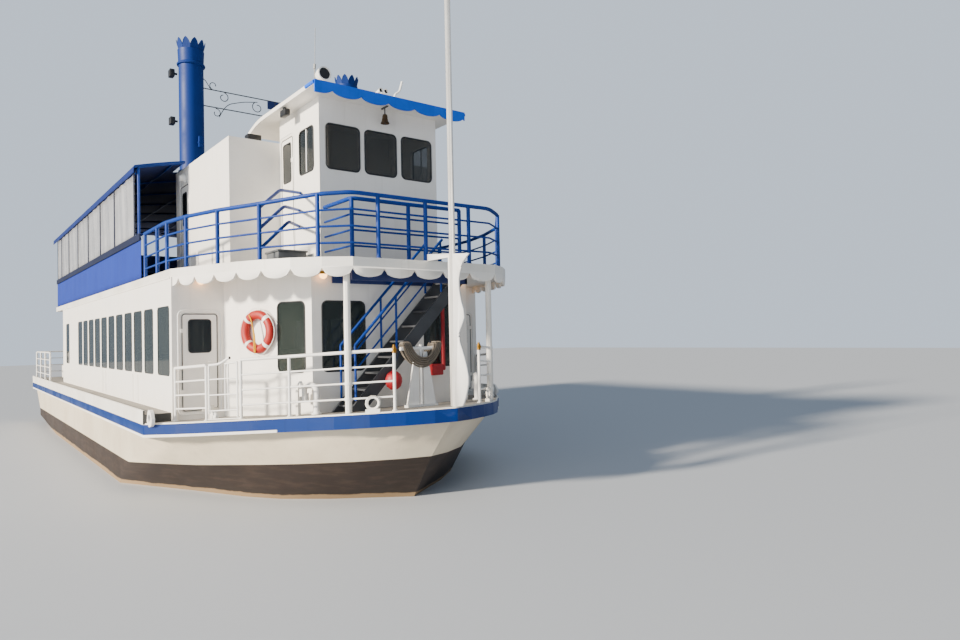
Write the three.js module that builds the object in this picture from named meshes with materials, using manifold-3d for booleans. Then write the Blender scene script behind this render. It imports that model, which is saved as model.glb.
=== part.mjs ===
// A two-deck passenger ferry for harbour tours: steel hull with a blunt raked bow, glazed lower
// saloon, open upper deck under a canopy, a raised pilothouse and a pair of crowned ornamental stacks.
// Millimetres, +X forward, +Y to port, +Z up. The origin is amidships on the centreline, at the waterline.

import * as THREE from 'three';
import { mergeVertices } from 'three/addons/utils/BufferGeometryUtils.js';
import Module from 'manifold-3d';

const wasm = await Module();
wasm.setup();

// Driving dimensions
const GAP = 0.3; // paint-thick gap between pieces that rest on each other
const PLATE = 60; // wall thickness of the deckhouses
const STARBOARD = -1;
const SIDES = [['stbd', STARBOARD], ['port', -STARBOARD]];

const HULL_INSET = 110; // hull side, in from the rub band's outer face
const BOW_INSET = 170; // the same at the bow, where the hull flares in under the band
const RUB_BOTTOM = 1130;
const HULL_TOP = 1340;
const BOW_RISE = 240; // how far the deck climbs from the cabin front to the stem
const RISE_START = 6900;
const RISE_END = 10600;
const FOREDECK = { thick: 20, edge: 30 };
const FOREDECK_TOP = HULL_TOP + GAP + FOREDECK.thick;
const MAIN_DECK_TOP = 1500;
const TOE_STRIP = { height: 70, width: 30 };

const CABIN = { aft: -6100, front: 6870, half: 3225, top: 3780 };
const CABIN_WINDOW = { first: 5310, pitch: 889, count: 10, width: 700, low: 2110, high: 3300, radius: 70 };
const BOW_WINDOW = { x: 6385, width: 810 };
const AFT_WINDOW = { x: -5065, width: 630 };
const HOUSE = { front: 8800, cornerY: 1560, bulkheadY: 2360, face: CABIN.front + GAP + PLATE };
const HOUSE_WINDOW = {
  low: 2150, high: 3305, radius: 90, slantWidth: 600, slantShare: 0.78, frontWidth: 780, frontY: 990,
};

const UPPER = { bottom: CABIN.top + GAP, top: 3920, aft: -7700, half: 3225, frontY: 1380 };
const DECK_SCALLOP = { drop: 160, strip: 25, thick: 40, frontLobes: 5 };
const ROOF_SCALLOP = { drop: 150, strip: 60, thick: 30, width: 534, lobes: 7, from: -1724 };
const BOW_POST = { x: 9690, y: 1384, radius: 52, collar: 74, collarHeight: 44 };
const STAIRWELL = { aft: 8850, front: 9470, low: -1150, high: 1000 };
const STAIR = {
  aft: 8900, front: 9440, footY: -1420, headY: STAIRWELL.high - GAP, stringer: 40, depth: 210, treads: 10,
};

const RAIL = { bars: 4, height: 910, barR: 16, topR: 30, postR: 26 };
const RAIL_CLIMB = { from: 8800, to: 9810, by: 120 }; // the upper rail stands taller at the bow
const FORE_RAIL = { height: 950, aftHeight: 900, barR: 14, topR: 20, postR: 24 };

const PILOT_ROOF = { front: 8940, half: 1510, thick: 70 };
const PILOT_WINDOW = { low: 1690, high: 2465, radius: 80 };
const CASING = { aft: 3150, front: 6700, half: 2160, height: 2480, wall: 80 };
const PILOT = { aft: CASING.front + GAP, front: 8410, half: 1200, height: 2895 };
const STACK = { x: 3460, y: 1900, radius: 257, sleeve: 280, wall: 30, top: 9330, crown: 580 };
const PETAL = { count: 10, height: 285, half: 62, thick: 26, lean: 0.2 };

const CANOPY = { aft: -8400, front: 4140, half: 3225, edge: 6270, rise: 430, thick: 40, fascia: 170 };
const CANOPY_POST_R = 26;
const CANOPY_POSTS = [4080, 2000, 250, -1500, -3250, -5000, -6600, -7600];
const BANNER = { front: 4600, aft: -7650, top: 4750, thick: 20, inset: 25 };
const CURTAIN = {
  low: UPPER.top + RAIL.height + 0.7, high: CANOPY.edge - CANOPY.fascia - 0.4, thick: 14, inset: 35,
};

const SHAFT = { y: 1350, z: -690, strutX: -7500, propX: -7690.5, propR: 300 };
const RUDDER = { x: -8620, top: -300, low: -1000, lead: 110, trail: 420, thick: 60 };

// Plan outline of the deck edge at the rub band's outer face: [x, half breadth], stern corner to stem
const DECK_EDGE = [[-10330, 3670], [-5000, 3670], [6870, 3670], [7500, 3320], [8050, 2910], [8600, 2470],
  [9020, 2100], [9400, 1780], [9620, 1600], [10000, 1200], [10300, 750], [10500, 350], [RISE_END, 0]];
const HALF_STATIONS = [2, 3, 4, 5]; // hull lines take a midpoint after these points, to match DECK_EDGE

// Upper deck edge round the bow: one lobe of the valance hangs under each stretch, [x, half breadth]
const UPPER_BOW = [[CABIN.front, UPPER.half], [7080, 3150], [7480, 3004], [7940, 2830], [8430, 2640],
  [8870, 2410], [9300, 2120], [9650, 1770], [9900, UPPER.frontY]];
const FIRST_LOBE = 450; // the aftmost lobe starts behind the cabin's corner and shows only its end

// Hull lines below the rub band: [x, half breadth, height] from the stern corner to the stem
const HULL_LINES = {
  flat: [[-9100, 2600, -50], [-5000, 2900, -900], [3300, 2900, -900], [4600, 2300, -900], [5500, 1750, -900],
    [6000, 1350, -900], [6500, 850, -900], [6850, 400, -900], [7000, 0, -900]],
  bilge: [[-9100, 3400, 100], [-5000, 3420, -520], [4000, 3400, -520], [5600, 2600, -520], [6700, 1950, -520],
    [7250, 1550, -520], [7800, 980, -500], [8250, 420, -480], [8500, 0, -470]],
  water: [[-9100, 3560, 260], [-5000, 3560, 0], [4400, 3560, 0], [6110, 2700, 0], [7300, 2150, 0],
    [7910, 1750, 0], [8490, 1120, 0], [8980, 440, 0], [9300, 0, 0]],
  paint: [[-9150, 3560, 500], [-5000, 3560, 500], [5200, 3560, 500], [6800, 2830, 540], [7900, 2130, 600],
    [8500, 1690, 640], [9200, 1060, 690], [9650, 450, 720], [9850, 0, 740]],
};

// Colours of the paint and fittings
const FINISH = {
  white: { color: 0xeceae4, roughness: 0.45, metalness: 0.1 },
  blue: { color: 0x1457c8, roughness: 0.4, metalness: 0.1 },
  railBlue: { color: 0x1b50ad, roughness: 0.4, metalness: 0.2 },
  deck: { color: 0x8d877e, roughness: 0.9, metalness: 0.0 },
  canopy: { color: 0x16255c, roughness: 0.85, metalness: 0.0 },
  banner: { color: 0x4b60b4, roughness: 0.7, metalness: 0.0 },
  curtain: { color: 0xb9b9bd, roughness: 0.5, metalness: 0.0 },
  glass: { color: 0x5c6b68, roughness: 0.08, metalness: 0.0 },
  dark: { color: 0x34363a, roughness: 0.8, metalness: 0.1 },
  seat: { color: 0x24407c, roughness: 0.8, metalness: 0.0 },
  rope: { color: 0xa2917c, roughness: 0.95, metalness: 0.0 },
  orange: { color: 0xe0491d, roughness: 0.6, metalness: 0.0 },
  bronze: { color: 0xa07a3c, roughness: 0.35, metalness: 0.9 },
};

const ferry = new THREE.Group();

function place(group, name, geometry, finish) {
  const mesh = new THREE.Mesh(geometry, new THREE.MeshStandardMaterial(FINISH[finish]));
  mesh.name = name;
  group.add(mesh);
  return mesh;
}

// Solids: closed meshes joined and cut
function solidOf(geometry) {
  const bare = geometry.clone();
  bare.deleteAttribute('normal');
  bare.deleteAttribute('uv');
  const merged = mergeVertices(bare, 0.01);
  const build = (triangles) => new wasm.Manifold(new wasm.Mesh({
    numProp: 3,
    vertProperties: new Float32Array(merged.attributes.position.array),
    triVerts: new Uint32Array(triangles),
  }));
  const triangles = Array.from(merged.index.array);
  const solid = build(triangles);
  return solid.volume() > 0 ? solid : build(triangles.reverse());
}

function geometryOf(solid) {
  const mesh = solid.getMesh();
  const geometry = new THREE.BufferGeometry();
  geometry.setAttribute('position', new THREE.BufferAttribute(new Float32Array(mesh.vertProperties), 3));
  geometry.setIndex(new THREE.BufferAttribute(new Uint32Array(mesh.triVerts), 1));
  geometry.computeVertexNormals();
  return geometry;
}

function join(pieces) {
  return geometryOf(pieces.map(solidOf).reduce((sum, next) => sum.add(next)));
}

function cut(body, tools) {
  return geometryOf(tools.map(solidOf).reduce((rest, tool) => rest.subtract(tool), solidOf(body)));
}

function keepInside(body, region) {
  return geometryOf(solidOf(body).intersect(solidOf(region)));
}

function mirrorY(geometry) {
  const bare = geometry.clone();
  bare.deleteAttribute('normal');
  bare.deleteAttribute('uv');
  const merged = mergeVertices(bare, 0.001);
  merged.scale(1, -1, 1);
  const turned = Array.from(merged.index.array);
  for (let i = 0; i < turned.length; i += 3) {
    [turned[i], turned[i + 1]] = [turned[i + 1], turned[i]];
  }
  merged.setIndex(turned);
  merged.computeVertexNormals();
  return merged;
}

const forSide = (geometry, side) => (side === STARBOARD ? geometry : mirrorY(geometry));

// Simple forms
function block(x, y, z) {
  const geometry = new THREE.BoxGeometry(x[1] - x[0], y[1] - y[0], z[1] - z[0]);
  return geometry.translate((x[0] + x[1]) / 2, (y[0] + y[1]) / 2, (z[0] + z[1]) / 2);
}

function bar(from, to, radius, sides = 6) {
  const start = new THREE.Vector3(...from);
  const run = new THREE.Vector3(...to).sub(start);
  const geometry = new THREE.CylinderGeometry(radius, radius, run.length(), sides);
  const upright = new THREE.Vector3(0, 1, 0);
  geometry.applyQuaternion(new THREE.Quaternion().setFromUnitVectors(upright, run.clone().normalize()));
  const middle = start.addScaledVector(run, 0.5);
  return geometry.translate(middle.x, middle.y, middle.z);
}

// A bar that runs past both of its ends, so that neighbours in a bent rail meet
function linkBar(from, to, radius, sides) {
  const a = new THREE.Vector3(...from);
  const b = new THREE.Vector3(...to);
  const past = b.clone().sub(a).setLength(radius * 0.5);
  return bar(a.sub(past).toArray(), b.add(past).toArray(), radius, sides);
}

function prism(outline, low, high) {
  const shape = new THREE.Shape(outline.map(([x, y]) => new THREE.Vector2(x, y)));
  const geometry = new THREE.ExtrudeGeometry(shape, { depth: high - low, bevelEnabled: false });
  return geometry.translate(0, 0, low);
}

// A flat plate in an upright plane: outline in [along, up], set at a point, facing across `along`
function uprightPlate(outline, origin, along, thick) {
  const u = new THREE.Vector3(along[0], along[1], 0).normalize();
  const up = new THREE.Vector3(0, 0, 1);
  const facing = new THREE.Vector3().crossVectors(u, up);
  const geometry = prism(outline, -thick / 2, thick / 2);
  const frame = new THREE.Matrix4().makeBasis(u, up, facing).setPosition(...origin);
  return geometry.applyMatrix4(frame);
}

function roundedRect(width, low, high, radius, steps = 2) {
  const points = [];
  const half = width / 2 - radius;
  const [lowZ, highZ] = [low + radius, high - radius];
  const corners = [[half, highZ, 0], [-half, highZ, 1], [-half, lowZ, 2], [half, lowZ, 3]];
  for (const [cx, cz, quarter] of corners) {
    for (let i = 0; i <= steps; i += 1) {
      const angle = (quarter + i / steps) * (Math.PI / 2);
      points.push([cx + radius * Math.cos(angle), cz + radius * Math.sin(angle)]);
    }
  }
  return points;
}

// Offset of a plan path to its left by a distance, with mitred corners; a closed path wraps round
function offsetPath(path, distance, closed) {
  const count = path.length;
  return path.map(([x, y], i) => {
    const before = closed ? path[(i + count - 1) % count] : path[Math.max(i - 1, 0)];
    const after = closed ? path[(i + 1) % count] : path[Math.min(i + 1, count - 1)];
    const into = new THREE.Vector2(x - before[0], y - before[1]);
    const out = new THREE.Vector2(after[0] - x, after[1] - y);
    const first = (into.length() > 0 ? into : out).clone().normalize();
    const second = (out.length() > 0 ? out : into).clone().normalize();
    const left = new THREE.Vector2(-first.y - second.y, first.x + second.x).normalize();
    const reach = distance / (left.x * -first.y + left.y * first.x);
    return [x + left.x * reach, y + left.y * reach];
  });
}

function wallOutline(path, thick, setback = 0) {
  return [...offsetPath(path, setback, false), ...offsetPath(path, setback + thick, false).reverse()];
}

// Hull form: full rings from half outlines, and a loft through them with flat caps
const riseAt = (x) => (Math.max(0, x - RISE_START) * BOW_RISE) / (RISE_END - RISE_START);

function fullRing(half) {
  const starboard = half.map(([x, y, ...rest]) => [x, -y, ...rest]);
  return [...starboard, ...half.slice(0, -1).reverse()];
}

function loft(rings) {
  const count = rings[0].length;
  const last = count - 1;
  const positions = rings.flat(2);
  const triangles = [];
  const at = (level, i) => level * count + ((i + count) % count);
  for (let level = 0; level < rings.length - 1; level += 1) {
    for (let i = 0; i < count; i += 1) {
      triangles.push(at(level, i), at(level, i + 1), at(level + 1, i + 1));
      triangles.push(at(level, i), at(level + 1, i + 1), at(level + 1, i));
    }
  }
  const top = rings.length - 1;
  for (let i = 0; i < last / 2; i += 1) {
    triangles.push(at(0, i), at(0, last - i), at(0, i + 1));
    triangles.push(at(top, i), at(top, i + 1), at(top, last - i));
    if (i + 1 < last - i - 1) {
      triangles.push(at(0, last - i), at(0, last - i - 1), at(0, i + 1));
      triangles.push(at(top, i + 1), at(top, last - i - 1), at(top, last - i));
    }
  }
  const geometry = new THREE.BufferGeometry();
  geometry.setAttribute('position', new THREE.BufferAttribute(new Float32Array(positions), 3));
  geometry.setIndex(triangles);
  geometry.computeVertexNormals();
  return geometry;
}

function deckPlan(sideInset, bowInset = sideInset) {
  const outline = fullRing(DECK_EDGE);
  const [side, bow] = [sideInset, bowInset].map((inset) => offsetPath(outline, inset, true));
  return side.map((point, i) => (outline[i][0] > CABIN.front ? bow[i] : point));
}

function withHalfStations(line) {
  return line.flatMap((point, i) => (HALF_STATIONS.includes(i)
    ? [point, point.map((value, k) => (value + line[i + 1][k]) / 2)] : [point]));
}

// Everything between two heights that both follow the climb of the deck towards the bow
function sheerBand(low, high) {
  const path = [-11000, RISE_START, RISE_END + 1000].map((x) => [x, riseAt(x)]);
  const lifted = (by) => path.map(([x, rise]) => [x, by + rise]);
  const outline = [...lifted(low), ...lifted(high).reverse()];
  return uprightPlate(outline, [0, 0, 0], [1, 0], 9000);
}

// Lifts a piece drawn on a flat deck at z = 0 onto the climbing foredeck
function ontoForedeck(geometry) {
  const lifted = geometry.clone();
  const spots = lifted.attributes.position;
  for (let i = 0; i < spots.count; i += 1) {
    spots.setZ(i, spots.getZ(i) + FOREDECK_TOP + GAP + riseAt(spots.getX(i)));
  }
  return lifted;
}

function foredeckWedge() {
  const ends = [RISE_START - 200, RISE_START, RISE_END + 400];
  const deck = ends.map((x) => [x, FOREDECK_TOP + GAP + riseAt(x)]);
  const outline = [[ends[0], 0], [ends[2], 0], ...deck.reverse()];
  return uprightPlate(outline, [0, 0, 0], [1, 0], 9000);
}

// Hull, rub band, decks
function hull() {
  const lines = Object.values(HULL_LINES).map((line) => fullRing(withHalfStations(line)));
  const edge = deckPlan(HULL_INSET, BOW_INSET);
  const topRings = [
    edge.map(([x, y]) => [x, y, RUB_BOTTOM + riseAt(x)]),
    edge.map(([x, y]) => [x, y, HULL_TOP + 2 * BOW_RISE]),
  ];
  const shell = keepInside(loft([...lines, ...topRings]), sheerBand(-3000, HULL_TOP));
  const skeg = uprightPlate([[-7000, -400], [-5200, -1060], [5200, -1060], [6000, -880], [0, -700]],
    [0, 0, 0], [1, 0], 90);
  const underwater = [shell, skeg];
  for (const [, side] of SIDES) {
    const y = SHAFT.y * side;
    underwater.push(bar([-5400, y, SHAFT.z], [SHAFT.strutX - 100, y, SHAFT.z], 38, 8));
    underwater.push(bar([-5400, y, SHAFT.z], [-6500, y, SHAFT.z], 70, 8));
    underwater.push(bar([SHAFT.strutX + 100, y, SHAFT.z], [SHAFT.strutX - 100, y, SHAFT.z], 75, 8));
    underwater.push(block([SHAFT.strutX - 70, SHAFT.strutX + 70], [y - 18, y + 18], [SHAFT.z, -300]));
    underwater.push(bar([RUDDER.x, y, RUDDER.top], [RUDDER.x, y, 0], 90, 8));
  }
  return join(underwater);
}

function rubBand() {
  const outer = keepInside(prism(deckPlan(0), 0, 2000), sheerBand(RUB_BOTTOM, HULL_TOP));
  return cut(outer, [prism(deckPlan(HULL_INSET - GAP, BOW_INSET - GAP), -100, 2100)]);
}

const CHOCK = { x: 9968, y: 1121, heading: 0.7 };

function foredeckFittings() {
  const parts = [];
  // gooseneck vent: an upright pipe with its mouth turned down
  const bend = [[8850, -10], [8850, 380], [8880, 490], [8970, 490], [9000, 380], [9000, 300]];
  const arch = new THREE.CatmullRomCurve3(bend.map(([x, z]) => new THREE.Vector3(x, -1830, z)));
  const pipe = new THREE.Shape();
  pipe.absarc(0, 0, 45, 0, Math.PI * 2, false);
  parts.push(new THREE.ExtrudeGeometry(pipe, { steps: 7, curveSegments: 3, extrudePath: arch }));
  const outward = new THREE.Vector3(Math.cos(CHOCK.heading), Math.sin(CHOCK.heading), 0);
  const facing = new THREE.Quaternion().setFromUnitVectors(new THREE.Vector3(0, 0, 1), outward);
  for (const [, side] of SIDES) {
    const pair = [
      // single bitt with a cross bar
      bar([7600, -2800, -10], [7600, -2800, 230], 55, 10),
      bar([7600, -2930, 170], [7600, -2670, 170], 26, 8),
      // ring chock on its base plate at the shoulder of the bow
      mirrorY(new THREE.TorusGeometry(95, 26, 5, 12).applyQuaternion(facing)
        .translate(CHOCK.x, CHOCK.y, 140)),
      mirrorY(block([-110, 110], [-36, 36], [-10, 50]).rotateZ(CHOCK.heading - Math.PI / 2)
        .translate(CHOCK.x, CHOCK.y, 0)),
    ];
    parts.push(...pair.map((piece) => forSide(piece, side)));
  }
  return parts.map(ontoForedeck);
}

// The two pipes at the bow that carry the upper deck
function bowPosts() {
  const foot = FOREDECK_TOP + riseAt(BOW_POST.x) - 10;
  return SIDES.map(([, side]) => bar([BOW_POST.x, side * BOW_POST.y, foot],
    [BOW_POST.x, side * BOW_POST.y, UPPER.bottom - GAP], BOW_POST.radius, 10));
}

function foredeck() {
  const plate = keepInside(prism(deckPlan(FOREDECK.edge), 0, 2000), sheerBand(HULL_TOP + GAP, FOREDECK_TOP));
  const forward = keepInside(plate, block([CABIN.front + GAP, RISE_END], [-4000, 4000], [0, 3000]));
  return join([forward, ...foredeckFittings(), ...bowPosts()]);
}

function mainDeck() {
  const edge = DECK_EDGE[0];
  const slab = block([edge[0], CABIN.front], [-edge[1], edge[1]], [HULL_TOP + GAP, MAIN_DECK_TOP]);
  const toeTop = MAIN_DECK_TOP + TOE_STRIP.height;
  const strips = SIDES.map(([, side]) => {
    const y = [side * edge[1], side * (edge[1] - TOE_STRIP.width)].sort((a, b) => a - b);
    return block([edge[0], CABIN.front], y, [MAIN_DECK_TOP - 10, toeTop]);
  });
  const locker = block([-7500, -6900], [-2900, -1700], [MAIN_DECK_TOP - 10, MAIN_DECK_TOP + 620]);
  return join([slab, ...strips, locker]);
}

// Lower saloon
function cabinSide() {
  const y = -CABIN.half + PLATE / 2;
  const low = MAIN_DECK_TOP + GAP;
  const panel = block([CABIN.aft, CABIN.front], [-CABIN.half, -CABIN.half + PLATE], [low, CABIN.top]);
  const openings = [];
  for (let i = 0; i < CABIN_WINDOW.count; i += 1) {
    openings.push([CABIN_WINDOW.first - i * CABIN_WINDOW.pitch, CABIN_WINDOW.width]);
  }
  openings.push(...[BOW_WINDOW, AFT_WINDOW].map(({ x, width }) => [x, width]));
  const { low: sill, high: head, radius } = CABIN_WINDOW;
  const tools = openings.map(([x, width]) => uprightPlate(roundedRect(width, sill, head, radius), [x, y, 0],
    [1, 0], PLATE * 3));
  return cut(panel, tools);
}

function cabinGlass() {
  const outer = -CABIN.half + PLATE + GAP;
  return block([CABIN.aft + PLATE + 20, CABIN.front - 20], [outer, outer + 8],
    [CABIN_WINDOW.low - 60, CABIN_WINDOW.high + 60]);
}

const HOUSE_PATH = [[HOUSE.face, -CABIN.half], [HOUSE.face, -HOUSE.bulkheadY], [HOUSE.front, -HOUSE.cornerY],
  [HOUSE.front, HOUSE.cornerY], [HOUSE.face, HOUSE.bulkheadY], [HOUSE.face, CABIN.half]];
const HOUSE_SLANT = [HOUSE.front - HOUSE.face, HOUSE.bulkheadY - HOUSE.cornerY];
const onSlant = (share) => [HOUSE.face + HOUSE_SLANT[0] * share, HOUSE.bulkheadY - HOUSE_SLANT[1] * share];

// Doors: each leaf hangs on two knuckles; the frame carries a seat under each knuckle.
// Drawn with the hinge line at the origin, the leaf towards +X and opening towards +Y.
const DOOR = { thick: 40, reach: 16, clear: 6, knuckleR: 9, knuckle: 70, seat: 24, seatGap: 0.5 };
const hingeHeights = (height) => [height * 0.18, height * 0.8];

function doorLeaf({ width, height, window, radius = 60 }) {
  const inner = -DOOR.reach - DOOR.thick;
  const outline = roundedRect(width, 0, height, radius);
  const leaf = uprightPlate(outline, [DOOR.reach + width / 2, inner + DOOR.thick / 2, 0], [1, 0], DOOR.thick);
  const pane = uprightPlate(roundedRect(window.width, window.low, window.high, 50),
    [DOOR.reach + width / 2, inner + 14, 0], [1, 0], DOOR.thick);
  const parts = [cut(leaf, [pane])];
  for (const z of hingeHeights(height)) {
    parts.push(bar([0, 0, z], [0, 0, z + DOOR.knuckle], DOOR.knuckleR, 6));
    parts.push(block([DOOR.reach, 90], [-DOOR.reach - 4, -DOOR.reach + 14], [z, z + DOOR.knuckle]));
    parts.push(block([-4, 30], [-DOOR.reach + 4, 4], [z, z + DOOR.knuckle]));
  }
  // lever handle on both faces
  const handleX = DOOR.reach + width - 70;
  const grip = [-DOOR.reach + 40, height * 0.5];
  parts.push(bar([handleX, inner - 45, grip[1]], [handleX, grip[0] + 5, grip[1]], 10, 4));
  parts.push(bar([handleX + 10, ...grip], [handleX - 110, ...grip], 9, 4));
  return join(parts);
}

function doorSeats(height) {
  return hingeHeights(height).map((z) => block([-22, DOOR.knuckleR - 2],
    [-DOOR.reach - 20, DOOR.knuckleR], [z - DOOR.seat, z - DOOR.seatGap]));
}

function doorway({ width, height }) {
  const outline = roundedRect(width + 2 * DOOR.clear, -DOOR.clear, height + DOOR.clear, 64);
  return uprightPlate(outline, [DOOR.reach + width / 2, -DOOR.reach - DOOR.thick / 2, 0], [1, 0], 300);
}

// Where each door hangs: hinge line, sill height, heading of the leaf, and whether it is mirrored
const CABIN_DOOR = { width: 610, height: 1670, window: { width: 370, low: 1000, high: 1560 } };
const AFT_DOOR = { width: 760, height: 1900, window: { width: 420, low: 1100, high: 1750 } };
const PILOT_DOOR = { width: 540, height: 2440, window: { width: 350, low: 1610, high: 2330 } };
const CASING_DOOR = { width: 620, height: 2040, window: { width: 300, low: 1190, high: 1880 } };

function hang(geometry, hinge, heading, mirrored) {
  const piece = mirrored ? mirrorY(geometry) : geometry.clone();
  return piece.rotateZ(heading).translate(...hinge);
}

const CABIN_DOOR_HINGE = [HOUSE.face + DOOR.reach, -3090, MAIN_DECK_TOP];
const PILOT_DOOR_HINGE = [7330, -PILOT.half - DOOR.reach, 60];
const CASING_DOOR_HINGE = [4160, -CASING.half - DOOR.reach, 60];
const AFT_DOOR_HINGE = [CABIN.aft - DOOR.reach, 396, MAIN_DECK_TOP + 60];

function forwardHouse() {
  let walls = prism(wallOutline(HOUSE_PATH, PLATE), 1000, CABIN.top);
  const tools = [foredeckWedge()];
  const { low, high, radius, slantWidth, slantShare, frontWidth, frontY } = HOUSE_WINDOW;
  const slantShape = roundedRect(slantWidth, low, high, radius);
  const frontShape = roundedRect(frontWidth, low, high, radius);
  const seats = [];
  for (const [, side] of SIDES) {
    const [slantX, slantY] = onSlant(slantShare);
    const slantRun = [HOUSE_SLANT[0], -side * HOUSE_SLANT[1]];
    tools.push(uprightPlate(slantShape, [slantX, side * slantY, 0], slantRun, PLATE * 4));
    tools.push(uprightPlate(frontShape, [HOUSE.front, side * frontY, 0], [0, 1], PLATE * 4));
    tools.push(forSide(hang(doorway(CABIN_DOOR), CABIN_DOOR_HINGE, Math.PI / 2, true), side));
    for (const seat of doorSeats(CABIN_DOOR.height)) {
      seats.push(forSide(hang(seat, CABIN_DOOR_HINGE, Math.PI / 2, true), side));
    }
  }
  walls = cut(walls, tools);
  return join([walls, ...seats]);
}

function houseGlass() {
  const path = HOUSE_PATH.slice(1, -1);
  const strip = wallOutline(path, 8, PLATE + GAP);
  return prism(strip, HOUSE_WINDOW.low - 60, HOUSE_WINDOW.high + 60);
}

function aftWall() {
  const panel = block([CABIN.aft, CABIN.aft + PLATE], [-CABIN.half + PLATE + GAP, CABIN.half - PLATE - GAP],
    [MAIN_DECK_TOP + GAP, CABIN.top]);
  const shape = roundedRect(900, CABIN_WINDOW.low, CABIN_WINDOW.high, CABIN_WINDOW.radius);
  const tools = SIDES.map(([, side]) => uprightPlate(shape, [CABIN.aft, side * 1900, 0], [0, 1], PLATE * 4));
  tools.push(hang(doorway(AFT_DOOR), AFT_DOOR_HINGE, -Math.PI / 2, true));
  const seats = doorSeats(AFT_DOOR.height).map((seat) => hang(seat, AFT_DOOR_HINGE, -Math.PI / 2, true));
  return join([cut(panel, tools), ...seats]);
}

// Rows of benches with seat and back, on a common plinth
const BENCH = { seat: 450, back: 870, depth: 420, plinth: 500 };

function benches(rows, y, floor) {
  const middle = (y[0] + y[1]) / 2;
  const half = BENCH.depth / 2;
  const { seat, back } = BENCH;
  const outline = [[-half - 40, seat - 60], [half, seat - 40], [half, seat], [-half + 10, seat],
    [-half + 10, back], [-half - 40, back]];
  const parts = rows.map((x) => uprightPlate(outline, [x, middle, 0], [1, 0], y[1] - y[0]));
  const plinthY = [middle - BENCH.plinth / 2, middle + BENCH.plinth / 2];
  parts.push(block([Math.min(...rows) - half, Math.max(...rows) + half - 60], plinthY, [0, seat - 20]));
  return join(parts).translate(0, 0, floor + GAP);
}

// Upper deck: the slab with its stairwell, the scalloped lip round the bow and the two posts under it
const UPPER_SIDE = [[UPPER.aft, -UPPER.half], ...UPPER_BOW.map(([x, y]) => [x, -y])];
const UPPER_EDGE = [...UPPER_SIDE, ...UPPER_SIDE.map(([x, y]) => [x, -y]).reverse()];

// Outline of a hanging strip: `drop` deep in the middle of a lobe and `strip` deep between two lobes
function scallops(width, lobes, { drop, strip }, steps = 8) {
  const points = [[width * lobes, 0], [0, 0]];
  for (let i = 0; i < lobes * steps; i += 1) {
    const across = ((i % steps) / steps) * 2 - 1;
    points.push([(i / steps) * width, -(drop - strip) * Math.sqrt(Math.max(0, 1 - across * across)) - strip]);
  }
  points.push([width * lobes, -strip]);
  return points.reverse();
}

function scallopedLip(from, to, lobes, top, scallop) {
  const along = [to[0] - from[0], to[1] - from[1]];
  const inward = new THREE.Vector2(-along[1], along[0]).setLength(scallop.thick / 2);
  const middle = [from[0] + inward.x, from[1] + inward.y, top];
  return uprightPlate(scallops(Math.hypot(...along) / lobes, lobes, scallop), middle, along, scallop.thick);
}

function upperDeck() {
  const slab = prism(UPPER_EDGE, UPPER.bottom, UPPER.top);
  return cut(slab, [block([STAIRWELL.aft, STAIRWELL.front], [STAIRWELL.low, STAIRWELL.high], [3000, 4500])]);
}

function deckValance() {
  const [corner, cusp] = UPPER_BOW.map(([x, y]) => new THREE.Vector2(x, -y));
  const start = corner.sub(cusp).setLength(FIRST_LOBE).add(cusp);
  const side = [start.toArray(), ...UPPER_BOW.slice(1).map(([x, y]) => [x, -y])];
  const path = [...side, ...side.map(([x, y]) => [x, -y]).reverse()];
  const parts = [];
  for (let i = 0; i < path.length - 1; i += 1) {
    const lobes = i === side.length - 1 ? DECK_SCALLOP.frontLobes : 1;
    parts.push(scallopedLip(path[i], path[i + 1], lobes, UPPER.bottom - GAP, DECK_SCALLOP));
  }
  return cut(join(parts), [block([0, HOUSE.face + GAP], [-4000, 4000], [3000, 4000])]);
}

// Railings: posts and bars of one thickness along a plan path, with a heavier round bar on top
function railing(path, posts, size) {
  const parts = [];
  const topZ = size.height - size.topR;
  for (let i = 0; i < path.length - 1; i += 1) {
    const [from, to] = [path[i], path[i + 1]];
    const run = new THREE.Vector2(to[0] - from[0], to[1] - from[1]);
    const length = run.length();
    run.normalize();
    const rectangles = [];
    for (let level = 1; level < RAIL.bars; level += 1) {
      const z = (size.height * level) / RAIL.bars - size.topR;
      rectangles.push([-size.barR, z - size.barR, length + size.barR, z + size.barR]);
    }
    rectangles.push([0, topZ - size.topR, length, topZ]);
    for (const [x, y] of posts) {
      const along = (x - from[0]) * run.x + (y - from[1]) * run.y;
      const off = Math.abs((x - from[0]) * run.y - (y - from[1]) * run.x);
      const lastPost = i === path.length - 2 && along > length - 1;
      if (off < 60 && along > -1 && along < length + 1 && (along < length - 1 || lastPost)) {
        rectangles.push([along - size.postR, 0, along + size.postR, topZ]);
      }
    }
    const fence = wasm.CrossSection.union(rectangles.map(([x0, z0, x1, z1]) => new wasm.CrossSection(
      [[x0, z0], [x1, z0], [x1, z1], [x0, z1]])));
    const sheet = geometryOf(fence.extrude(2 * size.barR)).translate(0, 0, -size.barR).rotateX(Math.PI / 2);
    parts.push(sheet.rotateZ(Math.atan2(run.y, run.x)).translate(from[0], from[1], 0));
    parts.push(linkBar([...from, topZ], [...to, topZ], size.topR, 6));
  }
  return parts;
}

function spread(from, to, count) {
  return Array.from({ length: count }, (_, i) => [
    from[0] + ((to[0] - from[0]) * i) / (count - 1), from[1] + ((to[1] - from[1]) * i) / (count - 1)]);
}

const RAIL_SIDE = [[4680, 3135], [6200, 3135], [7040, 3005], [7890, 2750], [8750, 2380], [9530, 1770],
  [RAIL_CLIMB.to, 1340]];
const RAIL_SIDE_POSTS = [[4700, 3135], [5635, 3135], [6280, 3123], ...RAIL_SIDE.slice(2, -1)];
const RAIL_FRONT_POSTS = [-885, 0, 885];

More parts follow.
